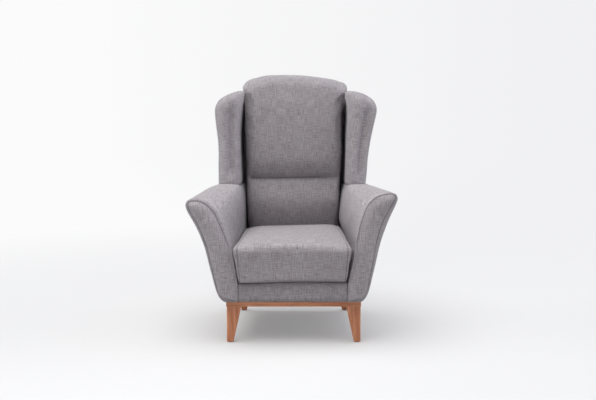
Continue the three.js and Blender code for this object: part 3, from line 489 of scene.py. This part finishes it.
def arm_rings(seed, edge):
    """The arm's skin. From the facing's seam its front edge rolls outwards in a quarter round, as wide as the
    seam is inside the outline, and its rear edge is rolled in a little."""
    quarter = np.linspace(0, np.pi / 2, 10)[:, None]
    roll_in, roll_back = edge * (1 - np.sin(quarter)), 0.8 * edge * (1 - np.cos(quarter))
    rear = np.linspace(np.pi / 2, 0, 7)[:, None]
    body = np.linspace(0, 1, 110)[1:-1, None] ** 1.15
    last = arm_length - arm_rear_edge
    rear_depth = last + arm_rear_edge * np.cos(rear) + 0 * edge
    rear_inset = arm_rear_edge * (1 - np.sin(rear)) / 2 + 0 * edge
    body_depth = 0.8 * edge * (1 - body) + last * body
    depth = np.concatenate([[np.full(len(edge), 3 * mm)], roll_back, body_depth, rear_depth])
    insets = np.concatenate([[edge + 4 * mm], roll_in, np.zeros_like(body_depth), rear_inset])
    outline = inset(arm_sections(depth.mean(1)), insets[..., None])
    lean = raked(outline[..., 1]) * smooth(depth / arm_length, 0.1, 1)
    rings = np.stack([outline[..., 0], arm_front + depth + lean, outline[..., 1]], 2)
    fade = smooth(depth, 0.01, 0.05) * smooth(arm_length - depth, 0.01, 0.05)
    rings = pushed(rings, drift(rings[..., 1], rings[..., 2], 0.22, seed) * 0.0011 * fade)
    seam = seam_shade(edge - insets, outline[..., 1]) * (depth < 0.1)
    return rings, seam


def settled(rings, side):
    """The right-hand arm's piece as it hangs on its own side. Handmade arms aren't quite alike: the left one
    stands wider and droops at the front. The right one is drawn in at its tip, fuller at the upper inner edge
    of its front and low down beside the back pad, and hollowed beside the cushion."""
    x, y, z = rings[..., 0], rings[..., 1], rings[..., 2]
    near_front = 1 - smooth(y, arm_front, arm_front + flare_length)
    reach = smooth(x, 0.24, 0.42) * near_front
    if side == "left":
        top_edge = smooth(z, 0.4, 0.58) * smooth(x, 0.26, 0.3)
        out = 6 * mm * near_front + (3 + 6 * top_edge) * mm * (1 - near_front)
        up = -22 * mm * reach
    else:
        fuller = smooth(z, 0.34, 0.5) * (1 - smooth(x, 0.3, 0.37)) * near_front
        beside_pad = smooth(z, 0.4, 0.45) * (1 - smooth(z, 0.46, 0.6))
        fuller_behind = (3 + 12 * beside_pad) * mm * (1 - smooth(x, 0.24, 0.28)) * (1 - near_front)
        out = -10 * mm * reach - 10 * mm * fuller - fuller_behind
        up = 4 * mm * reach + 8 * mm * fuller
        hollow = smooth(z, 0.22, 0.33) * (1 - smooth(z, 0.38, 0.42)) * (1 - smooth(x, 0.235, 0.26))
        out += 6 * mm * hollow * near_front
    moved = rings + np.stack([out, 0 * out, up * smooth(z, 0.35, 0.56)], -1)
    return moved * ((-1 if side == "left" else 1), 1, 1)


for side, seed in (("left", 11), ("right", 12)):
    rings, seam = arm_rings(seed, seam_inset(side))
    arm = skin("arm_upholstery_" + side, settled(rings, side), unrolled(rings), cloth, seam)
    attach(arm, "chair")
    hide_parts("arm_cover_" + side, "arm_foam_" + side)

# Arm facings: leaf-shaped pads of the same cloth over thin foam on the front panels. The seam round each
# lies in a narrow groove against the arm's cover.
facing_swell = 15 * mm
facing_sink = 1.5 * mm


def leaf_uv(rings, centre, outline):
    """Places on the flat cloth of a pad that swells from a middle line: out from that line, towards the
    outline, by the length run over the swell."""
    towards = outline - centre
    towards /= np.maximum(np.linalg.norm(towards, axis=1, keepdims=True), 1e-9)
    flat = centre + towards * run_along(rings)[..., None]
    return np.concatenate([flat, flat[:, :1]], 1)


for side, seed in (("left", 21), ("right", 22)):
    facing_outline = inset(arm_sections(np.zeros(1))[0], seam_inset(side)[:, None])
    facing_middle = midline(facing_outline, 0.08, 0.86)
    swell = np.sin(np.linspace(0.02, np.pi / 2, 34))
    beside_cushion = (arm_places > inner_top) * (1 - smooth(facing_outline[:, 1], 0.36, 0.46))
    out = (1 - swell[:, None] ** 2) ** (0.85 + 0.65 * beside_cushion) * facing_swell
    spread = np.concatenate([swell, [0.985, 0.9, 0.02]])
    out = np.concatenate([out, np.repeat([[-3 * mm], [-4 * mm], [-4 * mm]], out.shape[1], 1)])
    flat = facing_middle + spread[:, None, None] * (facing_outline - facing_middle)
    lively = np.concatenate([smooth(1 - swell, 0, 0.15), [0, 0, 0]])[:, None]
    soft = drift(flat[..., 0] * 2, flat[..., 1], 0.09, seed) * 1.2 * mm * lively
    rings = np.stack([flat[..., 0], arm_front + facing_sink - out - soft, flat[..., 1]], 2)
    seam = seam_shade(np.linalg.norm(facing_outline - flat, axis=2), flat[..., 1])
    uv = leaf_uv(rings, facing_middle, facing_outline)
    facing = skin("arm_facing_pad_" + side, settled(rings, side), uv, cloth, seam)
    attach(facing, "chair")
    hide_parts("arm_facing_" + side)

# Arm boards: the sawn plywood front of each arm's frame, to which the facing is tacked. Each follows its
# own arm's outline, a cloth's and a wadding's thickness inside it.
board_low, board_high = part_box("arm_front_panel_right")
board_inset = 7 * mm
board_share = np.array([0.02, 0.5, 1, 1, 1, 1, 0.5, 0.02])
board_depth = np.array([0, 0, 0, 0.33, 0.67, 1, 1, 1])
for side in sides:
    outline = round_through(arm_keys[:, :2], arm_places)
    outline = inset(np.broadcast_to(outline, (len(board_share), *outline.shape)), board_inset)[0]
    board_middle = midline(outline, 0.05, 0.9)
    flat = board_middle + board_share[:, None, None] * (outline - board_middle)
    depth = board_depth * (board_high.y - board_low.y) + board_low.y
    rings = np.stack([flat[..., 0], np.broadcast_to(depth[:, None], flat.shape[:2]), flat[..., 1]], 2)
    board = skin("arm_front_board_" + side, settled(rings, side), unrolled(rings), plywood)
    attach(board, "chair")
    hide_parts("arm_front_panel_" + side)

# Wings: foam over a plywood panel, standing on the arms. The front is sewn to the outside near its outer
# edge, and the padding rolls inwards from that seam into a soft upright valley.
wing_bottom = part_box("wing_cover_left")[0].z
wing_keys = mm * np.array(
    [
        (268, 605), (300, 605), (319, 604.5), (322, 618), (326, 700), (333, 785), (345, 860), (353, 905),
        (355, 930), (351, 951), (341, 971), (321, 988), (291, 1004), (256, 1014), (234, 1016), (220, 1010),
        (219.5, 985), (228, 915), (227, 790), (221, 640), (221, 608), (230, 605),
    ]
)
wing_points = 120
wing_roll = 58 * mm
wing_reach = 335 * mm
wing_outline = round_through(wing_keys, two_sided(wing_keys, turn=13, count=wing_points))
wing_middle = midline(wing_outline, 0.0, 0.8)
plinth_depth = 590 * mm
back_face = front + plinth_depth
outer_side = np.concatenate([np.ones(wing_points), -np.ones(wing_points)])


def wing_rings(seed, valley_at, valley_width, valley_depth):
    """The wing's skin: the front swells from a middle line and rolls round to the sides and top, which run
    back to the rear of the frame. The valley's place and width are shares of the front's half width."""
    spread = np.sin(np.linspace(0.01, np.pi / 2, 60))
    roll = wing_roll * (1 - (1 - spread**2.1) ** 0.52)
    run = np.linspace(0, 1, 60)[1:]
    rear_spread = np.concatenate([np.ones(54), np.cos(np.linspace(0, np.pi / 2, 5)) * 0.12 + 0.88, [0.3, 0.02]])
    flat = wing_middle + np.concatenate([spread, rear_spread])[:, None, None] * (wing_outline - wing_middle)
    height = flat[..., 1]
    front_line = back_face + raked(height) - wing_reach + 18 * mm * smooth(height, 0.93, 1.013)
    rear_line = back_face + raked(height) - 7.6 * mm
    front_rows, rear_rows = len(spread), len(rear_spread)
    back = np.concatenate([roll, np.full(rear_rows, wing_roll)])
    share = np.concatenate([np.zeros(front_rows), run, [1, 1]])[:, None]
    depth = back[:, None] + (rear_line - front_line - wing_roll) * share
    rings = np.stack([flat[..., 0], front_line + depth, height], 2)

    across = np.concatenate([spread, np.ones(rear_rows)])[:, None] * outer_side
    on_front = np.concatenate([np.ones(front_rows), np.zeros(rear_rows)])[:, None]
    upright = smooth(height, 0.62, 0.68) * (1 - smooth(height, 0.9, 0.985))
    valley = np.exp(-(((across - valley_at) / valley_width) ** 2)) * valley_depth * upright
    sewn = np.exp(-(((across - 0.83) / 0.035) ** 2)) * smooth(height, 0.61, 0.63)
    rings[..., 1] += (valley + sewn * 2.5 * mm) * on_front
    near_arm = np.exp(-np.abs(height - wing_bottom) / (3 * mm))
    scoop = smooth(height, 0.93, 1.0) * smooth(depth, 0.07, 0.12) * (across < 0)
    clear_of_top = smooth(0.256 - flat[..., 0], 0, 0.036)
    scooped = (17 * mm * scoop + 6 * mm * smooth(depth, 0.03, 0.12)) * smooth(-across, 0.3, 1)
    rings[..., 0] += scooped * clear_of_top
    rings = pushed(rings, drift(rings[..., 0] - rings[..., 1], height, 0.2, seed) * 1.2 * mm - 1 * mm * near_arm)
    # The front's seam line and the join with the arm below are drawn darker: painted shade in the groove, with the
    # seam's thread
    seam = np.clip(sewn * on_front * 0.2 + near_arm**2 * 0.22, 0, 1)
    return rings, seam


def stood(rings, side):
    """The right-hand wing's rings as they stand on their own side: the left wing is the more upright, and
    its inner side stands further out, but not at the top."""
    low, high = (9 * mm, -7 * mm) if side == "left" else (-9 * mm, 9 * mm)
    lean = low + (high - low) * (rings[..., 2] - 0.61) / 0.33
    outer = smooth(rings[..., 0], 0.225, 0.3)
    room = (1 - smooth(rings[..., 2], 0.82, 0.97)) if side == "left" else 0.6 * smooth(rings[..., 2], 0.8, 0.95)
    lean = lean * outer + 8 * mm * room * (1 - outer)
    return (rings + lean[..., None] * (1, 0, 0)) * ((-1 if side == "left" else 1), 1, 1)


for side, *form in (("left", 31, -0.16, 0.33, 25 * mm), ("right", 32, 0.2, 0.27, 20 * mm)):
    rings, seam = wing_rings(*form)
    low_corner = back_face - wing_reach + 12 * mm
    rings = fold(rings, (0.316, low_corner, 0.622), (0.268, low_corner, 0.655), 7 * mm, 3.5 * mm)
    rings = fold(rings, (0.306, low_corner, 0.612), (0.256, low_corner, 0.63), 6 * mm, 2.5 * mm)
    uv = leaf_uv(rings, wing_middle, wing_outline)
    wing = skin("wing_upholstery_" + side, stood(rings, side), uv, cloth, seam)
    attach(wing, "chair")
    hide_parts("wing_cover_" + side, "wing_foam_" + side)

# Outside back: one panel of the cloth over a thin wadding, tacked along its edges to the rear of the frame.
# It follows the sides of the arms and wings, and crowns a little in its middle.
back_right = mm * np.array(
    [
        (0, 167.3), (150, 167.3), (246, 167.3), (262, 180), (268, 206), (279, 291), (288, 385), (299, 465),
        (309.5, 540), (312.5, 590), (314, 620), (320, 700), (327, 785), (338, 860), (347, 905), (349, 930),
        (345, 953), (335, 971), (315, 986), (286, 998.5), (250, 1004.5), (200, 1006.5), (100, 1006.5), (0, 1006.5),
    ]
)
back_keys = np.concatenate([back_right, (back_right * (-1, 1))[-2:0:-1]])
back_outline = round_through(back_keys, two_sided(back_keys, turn=len(back_right) - 1, count=220))
back_middle = midline(back_outline, 0.1, 0.9)
spread = np.sin(np.linspace(0.01, np.pi / 2, 70))
spread = np.concatenate([spread, [1, 0.99, 0.01]])
back_edge = 7 * mm
crown = back_edge + 3 * mm * (1 - spread**2)
crown[-4:] = (5 * mm, 2 * mm, 0, 0)
flat = back_middle + spread[:, None, None] * (back_outline - back_middle)
soft = drift(flat[..., 0], flat[..., 1], 0.3, 41) * 1.5 * mm * smooth(1 - spread, 0, 0.1)[:, None]
back_skin = back_face - back_edge + raked(flat[..., 1]) + crown[:, None] + soft
rings = np.stack([flat[..., 0], back_skin, flat[..., 1]], 2)
uv = np.concatenate([flat, flat[:, :1]], 1)
# Its outermost rings are drawn a quarter darker: painted shade along the tacked edge, where it meets the arms and
# wings
outside_back = skin("outside_back_panel", rings, uv, cloth, (spread > 0.995)[:, None] * 0.25)
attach(outside_back, "chair")
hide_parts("outside_back")

# Back pad: a thick foam pad in its own cover, sewn through with one tuck above the waist. Its head is
# wider than the gap between the wings, and its corners lie over their tops.


def puffed(name, rings, held, spare, most, eased):
    """Rings after the filling has pressed the cloth out: Blender's cloth with pressure and no gravity, for
    20 steps, on cloth cut larger by a share to spare. Held points and the ends stay. Each point's move is
    averaged with its four neighbours' a number of times, which leaves only the wider creases, and then eased
    so that none goes further than the most: move * tanh(length / most) * most / length."""
    steps = 20
    held[[0, 1, -2, -1]] = 1
    bag = skin(name, rings, unrolled(rings), cloth)
    group = bag.vertex_groups.new(name="held")
    for index, weight in enumerate(held.ravel().tolist()):
        if weight > 0:
            group.add([index], weight, "REPLACE")
    modifier = bag.modifiers.new("Cloth", "CLOTH")
    modifier.settings.vertex_group_mass = "held"
    modifier.settings.use_pressure = True
    modifier.settings.uniform_pressure_force = 4
    modifier.settings.effector_weights.gravity = 0
    modifier.settings.shrink_min = -spare
    modifier.settings.tension_stiffness = 20
    modifier.settings.compression_stiffness = 20
    modifier.settings.bending_stiffness = 0.6
    modifier.point_cache.frame_end = steps
    for step in range(1, steps + 1):
        bpy.context.scene.frame_set(step)
    pressed = bag.evaluated_get(bpy.context.evaluated_depsgraph_get()).to_mesh()
    points = np.empty(len(pressed.vertices) * 3)
    pressed.vertices.foreach_get("co", points)
    bpy.context.scene.frame_set(1)
    bpy.data.objects.remove(bag)
    moved = points.reshape(rings.shape) - rings
    for _ in range(eased):
        beside = np.roll(moved, 1, 1) + np.roll(moved, -1, 1)
        moved = (moved * 4 + beside + moved[[0, *range(len(moved) - 1)]] + moved[[*range(1, len(moved)), -1]]) / 8
    far = np.maximum(np.linalg.norm(moved, axis=2), 1e-9)
    return rings + moved * (np.tanh(far / most) * most / far)[..., None]


def finer(rings, times):
    """The same surface with more rings and points, on cubic curves through the old ones."""
    count, around = rings.shape[:2]
    along = through(np.arange(count), rings, np.linspace(0, count - 1, (count - 1) * times + 1))
    wrapped = np.concatenate([along[:, -2:], along, along[:, :3]], 1).swapaxes(0, 1)
    step = (np.arange(around * times) + 0.5) / times - 0.5
    return through(np.arange(around + 5) - 2, wrapped, step).swapaxes(0, 1)


# The pad's side view, as heights and how far it stands off the leaning back, up the front, over the top
# and down the rear. Then its half widths at heights, on the left and the right. All are in millimetres.
pad_bottom, pad_top = (300, 70), (1101, 120)
pad_front = [(302, 100), (332, 128), (380, 148), (430, 170), (480, 193), (525, 208), (565, 211), (600, 204)]
pad_front += [(630, 190), (655, 200), (700, 213), (770, 218), (850, 217), (930, 213), (985, 209), (1030, 207)]
pad_front += [(1062, 201), (1086, 184), (1097, 158)]
pad_rear = [(1097, 60), (1084, 22), (1055, 5), (1017, 1), (1005, 11), (990, 37), (700, 37), (400, 37), (312, 42)]
profile = mm * np.array([pad_bottom, *pad_front, pad_top, *pad_rear])
pad_steps = mm * np.array([300, 340, 400, 480, 580, 630, 680, 800, 880, 930, 970, 1000, 1020, 1040, 1110])
pad_left = mm * np.array([196, 207, 212, 216, 217, 216, 218, 224, 226, 226, 228, 233, 237, 238, 238])
pad_right = mm * np.array([188, 199, 203, 205, 206, 208, 211, 215, 215, 217, 222, 232, 240, 242, 242])

keys = np.stack([back_face + raked(profile[:, 0]) - profile[:, 1], profile[:, 0]], 1)
outline = round_through(keys, two_sided(keys, turn=len(pad_front) + 1, count=130))
middle = midline(outline, 0.06, 0.93)
pad_turn = np.linspace(-np.pi / 2, np.pi / 2, 63)[:, None]
pad_turn[[0, -1]] *= 0.999
boxiness = np.where(pad_turn < 0, 4.5 + 3.5 * smooth(outline[:, 1], 0.62, 0.95), 9)
share = np.sign(np.sin(pad_turn)) * np.abs(np.sin(pad_turn)) ** (2 / boxiness)
pad_full = np.cos(pad_turn) ** (2 / boxiness)
flat = middle + pad_full[..., None] * (outline - middle)
height = flat[..., 1]
halves = [through(pad_steps, w, height.ravel()).reshape(height.shape) for w in (pad_left, pad_right)]
half = np.where(pad_turn < 0, *halves)
rings = np.stack([share * half, flat[..., 0], height], 2)
arch = (0.028 * np.abs(share) ** 3.4 + 0.02 * np.abs(share) ** 12) * smooth(height, 0.97, 1.09)
shoulder = np.where(share > 0, 9 * smooth(share, 0.15, 0.6), 4 * smooth(-share, 0.45, 0.75)) * mm
shoulder = shoulder * (1 - smooth(np.abs(share), 0.85, 1)) * smooth(height, 1.0, 1.08)
rings[..., 2] -= arch + shoulder

# Filling: the pad is held at its rear and its tuck, and the cloth puffs less at the head
tuck_rise = 0.63
times_finer = 3
at_rear = rings[..., 1] > back_face + raked(rings[..., 2]) - 60 * mm
held = 1.0 * (at_rear | (np.abs(rings[..., 2] - tuck_rise) < 4 * mm))
most = (10 - 7 * smooth(rings[..., 2], 0.95, 1.04)) * mm
rings = finer(puffed("back_pad_bag", rings, held, spare=0.025, most=most, eased=10), times_finer)

x, z = rings[..., 0], rings[..., 2]
is_front = smooth(back_face + raked(z) - rings[..., 1], 0.1, 0.14)
tuck_height = tuck_rise + 2 * mm * np.sin(x * 14)
tuck_reach = smooth(x, -0.206, -0.187) * (1 - smooth(x, 0.1, 0.19) * 0.85)
tuck_width = np.where(z > tuck_height, 21 * mm, 9 * mm)
tuck_depth = 14 * mm
rings[..., 1] += np.exp(-np.abs(z - tuck_height) / tuck_width) * tuck_depth * tuck_reach * is_front


def front_at(x, z, reach):
    """A point on the pad's front, from its place across, its height and how far it stands off the back."""
    return (x, back_face + raked(z) - reach, z)


for start, end, width, depth in (
    ((0.19, 0.535, 0.19), (0.155, 0.47, 0.185), 7, 5),
    ((0.198, 0.505, 0.17), (0.172, 0.44, 0.165), 6, 4),
    ((0.232, 0.995, 0.13), (0.2, 0.965, 0.175), 7, 5),
    ((-0.234, 1.02, 0.13), (-0.215, 1.0, 0.165), 6, 4),
    ((0.162, 0.67, 0.21), (0.166, 0.95, 0.2), 12, 3),
):
    rings = fold(rings, front_at(*start), front_at(*end), width * mm, depth * mm)
rings = pushed(rings, drift(rings[..., 0], rings[..., 2], 0.24, 51) * 1.6 * mm)
# The tuck's line is drawn darker: painted shade in its groove, with the stitching
tuck_stitch_and_shade = np.exp(-np.abs(rings[..., 2] - tuck_height) / (3 * mm)) * tuck_reach * is_front * 0.75
back_pad = skin("back_pad", rings, unrolled(rings), cloth, tuck_stitch_and_shade)
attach(back_pad, "chair")
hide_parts("back_pad_cover", "back_pad_foam")

# Seat cushion: a crowned foam block in a loose cover. One long panel goes over the front, top and bottom,
# and a boxing panel is sewn in at each side, with the seams near the corners of the front.
cushion_low, cushion_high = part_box("seat_cushion_cover")
cushion_front, cushion_rear, cushion_bottom = cushion_low.y, cushion_high.y, cushion_low.z


def cushion_edge(reach, rise):
    """A point of the cushion's side view, from its reach behind the front and its rise above the bottom, in
    millimetres. A reach below zero counts forwards from the rear."""
    return ((cushion_rear if reach < 0 else cushion_front) + reach * mm, cushion_bottom + rise * mm)


cushion_profile = [(-0.1, 70), (-1, 24), (-8, 6), (-28, 0.3), (-130, 0), (130, 0), (30, 0.4), (15, 2.5), (10, 10)]
cushion_profile += [(9, 28), (7, 62), (3, 95), (0, 118), (2, 131), (12, 140), (45, 145), (120, 151), (200, 157)]
cushion_profile += [(290, 162), (400, 164), (-46, 162), (-20, 155), (-6, 140), (-1, 116)]
cushion_keys = np.array([cushion_edge(*place) for place in cushion_profile])
outline = round_through(cushion_keys, two_sided(cushion_keys, turn=10, count=100))
cushion_middle = midline(outline, 0.12, 0.88)
cushion_round = 12 * mm
cushion_shoulder = 131 * mm

# Rings from the left boxing over the main panel to the right: the panel is flat across, its corner turns
# through a quarter round, and the boxing closes towards the middle line
main = np.linspace(-1, 1, 57)
corner = np.linspace(0, np.pi / 2, 6)[1:]
boxing = np.linspace(0.9, 0.02, 11)
beyond = len(corner) + len(boxing)
edge_inset = np.concatenate([main * 0, cushion_round * (1 - np.cos(corner)), boxing * 0 + cushion_round])
edge_out = np.concatenate([main * 0, np.sin(corner), boxing * 0 + 1])
edge_share = np.concatenate([main * 0 + 1, corner * 0 + 1, boxing])
along_half = np.concatenate([main, np.ones(beyond)])
order = np.concatenate([np.arange(len(along_half) - 1, len(main) - 1, -1), np.arange(len(along_half))])
towards = np.concatenate([-np.ones(beyond), np.ones(len(along_half))])
sharper = 1 - 0.85 * smooth(outline[:, 0], cushion_front + 0.1, cushion_rear)[:, None]
flat = np.broadcast_to(outline, (len(order), *outline.shape))
flat = inset(flat, edge_inset[order][:, None, None] * sharper)
flat = cushion_middle + edge_share[order][:, None, None] * (flat - cushion_middle)
behind = (flat[..., 0] - cushion_front) / (cushion_rear - cushion_front)
up = (flat[..., 1] - cushion_bottom) / cushion_shoulder
level = np.clip(up, 0, 1)
well = np.interp(behind, [0, 0.25, 0.5, 0.7, 1], [1, 0.72, 0.28, 0.05, 0])
half = 208 * mm + (21 * well + 2.5 * (1 - well)) * mm * level
half -= 2.5 * mm * np.sin(np.pi * np.clip(behind, 0, 1))
seam_band = (4 + 12 * level) * mm
over_panel, over_band = (towards * along_half[order])[:, None], (towards * edge_out[order])[:, None]
side_run = over_panel * (half - seam_band) + over_band * seam_band
bow = 1 - np.abs(side_run / half) ** (2.2 + 6 * np.clip(behind, 0, 1))
crown = (14 * bow - 5) * mm * (1 - behind) + (3 * bow + 4 + 7 * side_run / half) * mm * behind
cushion_left = 4.5 * mm
rings = np.stack([side_run - cushion_left, flat[..., 0], flat[..., 1] + crown * smooth(up, 0.2, 1.0)], 2)
rings[..., 0] -= 7 * mm * smooth(behind, 0.6, 1) * smooth(rings[..., 0], 0.1, 0.2) * level
droop = smooth(-rings[..., 0], 0.0, 0.2) * (1 - smooth(behind, 0.02, 0.08)) * (1 - level)
rings[..., 2] -= 6 * mm * droop
left_seam, right_seam = beyond, len(along_half) - 1
held = 1.0 * ((rings[..., 2] < cushion_bottom + 3 * mm) | (rings[..., 1] > cushion_rear - 8 * mm))
held[[left_seam - 1, left_seam, right_seam, right_seam + 1]] = 0.9
most = (2.5 + 5 * smooth(behind, 0.0, 0.2)) * mm
rings = finer(puffed("seat_cushion_bag", rings, held, spare=0.015, most=most, eased=14), times_finer)

ring_place = np.arange(rings.shape[0]) / times_finer
from_seam = np.abs(ring_place - (left_seam + right_seam) / 2) - (right_seam - left_seam) / 2
sewn = np.exp(-((from_seam / 0.35) ** 2))[:, None]
pucker = 0.5 + 0.5 * drift(rings[..., 1], rings[..., 2], 0.035, 61)
beside = np.exp(-((from_seam / 1.6) ** 2))[:, None]
soft = drift(rings[..., 0], rings[..., 1] + rings[..., 2], 0.26, 62) * 1.8 * mm
off_deck = smooth(rings[..., 2], cushion_bottom + 2 * mm, cushion_bottom + 12 * mm)
rings = pushed(rings, (soft - sewn * 2 * mm + beside * pucker * 1 * mm) * off_deck)

# Zip: round it the cover is drawn in to just inside the zip's face, which bows forwards in its middle
zip_low, zip_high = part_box("seat_cushion_zip")
zip_middle, zip_half = (zip_low + zip_high) / 2, (zip_high - zip_low) / 2
zip_straight, zip_bow, zip_shows = 74 * mm, 2.5 * mm, 1 * mm
along_zip = 1 - smooth(np.abs(rings[..., 0] - zip_middle.x), zip_half.x, zip_half.x + 8 * mm)
over_zip = 1 - smooth(np.abs(rings[..., 2] - zip_middle.z), zip_half.z + 1 * mm, zip_half.z + 5 * mm)
zip_face = np.interp(np.abs(rings[..., 0]), (zip_straight, zip_half.x), (zip_high.y - zip_bow, zip_high.y))
proud = np.maximum(rings[..., 1] - (zip_face - zip_shows), 0) * (rings[..., 1] > cushion_rear - 15 * mm)
rings[..., 1] -= proud * along_zip * over_zip
# The boxing seams are drawn darker: painted shade in their grooves, with the thread
seat_cushion = skin("seat_cushion", rings, unrolled(rings), cloth, sewn * 0.55)
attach(seat_cushion, "seat_cushion")
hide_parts("seat_cushion_cover", "seat_cushion_foam")
dress(nylon, "seat_cushion_zip")

# Floor, light and camera: a pale studio sweep, a soft light above, softboxes at the front left and above
# the front, and pale flats at both sides. The floor fades into the backdrop, so no horizon shows.
bpy.ops.mesh.primitive_plane_add(size=80)
floor = bpy.context.object
floor.name = "studio_floor"


def backdrop_tone(material, direction):
    """The white of the backdrop, a little greyer towards the right, for a socket that holds a direction. The
    greying is painted shade, as the light falls off away from the left.
    """
    across = add(material, "SeparateXYZ", {"Vector": direction}).outputs["X"]
    share = add(material, "MapRange", {"Value": across, "From Min": -0.3, "From Max": 0.3}).outputs["Result"]
    # Painted shade: the backdrop is drawn greyer towards the right, as if lit from the left
    tones = {0: share, 6: linear("#fbfbfb"), 7: linear("#f1f1f3")}
    return add(material, "Mix", tones, data_type="RGBA").outputs[2]


def seen_rays(material):
    """1 for the rays that show the backdrop itself, in the picture or in a reflection, and 0 for the rest."""
    rays = add(material, "LightPath").outputs
    most = add(material, "Math", {0: rays["Is Camera Ray"], 1: rays["Is Glossy Ray"]}, operation="MAXIMUM")
    inputs = {0: most.outputs[0], 1: rays["Is Transmission Ray"]}
    return add(material, "Math", inputs, operation="MAXIMUM").outputs[0]


sweep = new_material("pale_studio_floor")
seen = seen_rays(sweep)
floor_tone = add(sweep, "Mix", {0: seen, 6: linear("#a8a7a6"), 7: linear("#bababb")}, data_type="RGBA").outputs[2]
lift = add(sweep, "Math", {0: seen, 1: 0.2}, operation="MULTIPLY").outputs[0]
painted = {"Roughness": 0.9, "Specular IOR Level": 0.0, "Base Color": floor_tone}
lit = {"Emission Color": linear("#f8f9f8"), "Emission Strength": lift}
near_floor = add(sweep, "BsdfPrincipled", {**painted, **lit}).outputs["BSDF"]
floor_place = add(sweep, "TexCoord").outputs["Object"]
far = add(sweep, "VectorMath", {0: floor_place}, operation="LENGTH").outputs["Value"]
fade = add(sweep, "MapRange", {"Value": far, "From Min": 1.2, "From Max": 4.5}, interpolation_type="SMOOTHSTEP")
fade = add(sweep, "Math", {0: fade.outputs["Result"], 1: seen}, operation="MULTIPLY").outputs[0]
towards_far = add(sweep, "VectorMath", {0: floor_place}, operation="NORMALIZE").outputs["Vector"]
glow = add(sweep, "Emission", {"Color": backdrop_tone(sweep, towards_far)}).outputs["Emission"]
both = add(sweep, "MixShader", {0: fade, 1: near_floor, 2: glow}).outputs["Shader"]
add(sweep, "OutputMaterial", {"Surface": both})
floor.data.materials.append(sweep)

world = bpy.data.worlds.new("studio")
bpy.context.scene.world = world
world.use_nodes = True
world.node_tree.nodes.clear()
facing_way = add(world, "TexCoord").outputs["Generated"]
tones = {0: seen_rays(world), 6: linear("#7c7d82"), 7: backdrop_tone(world, facing_way)}
ambient = add(world, "Mix", tones, data_type="RGBA")
sky = add(world, "Background", {"Color": ambient.outputs[2], "Strength": 1.0})
add(world, "OutputWorld", {"Surface": sky.outputs["Background"]})


def lamp(name, towards, strength, size, colour, place=None):
    """A round softbox at a place, as wide as its size in metres, or with no place a distant soft light that
    is spread over its size in degrees. Its light goes along a direction."""
    light = bpy.data.lights.new(name, "AREA" if place else "SUN")
    if place:
        light.shape = "DISK"
        light.size = size
    else:
        light.angle = np.radians(size)
    light.energy = strength
    light.color = linear(colour)[:3]
    holder = bpy.data.objects.new(name, light)
    x, y, z = np.array(towards, float) / np.linalg.norm(towards)
    holder.location = place or (0, 0, 3)
    holder.rotation_euler = (np.arccos(-z), 0, np.arctan2(-x, y))
    bpy.context.scene.collection.objects.link(holder)


lamp("overhead_light", (0.16, 0.04, -1.0), 3.0, 60, "#fffefb")
lamp("right_reflector", (-1.0, 0.0, -0.7), 1.1, 90, "#eef2ff")
lamp("left_flat", (1.0, 0.0, -0.1), 1.4, 25, "#ffffff")
lamp("right_flat", (-1.0, 0.0, -0.1), 1.2, 25, "#ffffff")
lamp("front_left_softbox", (1.05, 1.95, -0.35), 3.5, 1.0, "#fffdfa", (-1.05, -2.0, 0.9))
lamp("front_top_softbox", (0.35, 1.05, -1.0), 4, 1.0, "#ffffff", (-0.35, -1.15, 1.55))

camera = bpy.data.objects.new("camera", bpy.data.cameras.new("camera"))
camera.data.sensor_width = 36
camera.data.lens = 43.31
camera.location = (0.017, front - 2.77, 0.755)
camera.rotation_euler = (np.radians(86), 0, 0)
bpy.context.scene.collection.objects.link(camera)
bpy.context.scene.camera = camera

bpy.context.scene.view_settings.view_transform = "Standard"
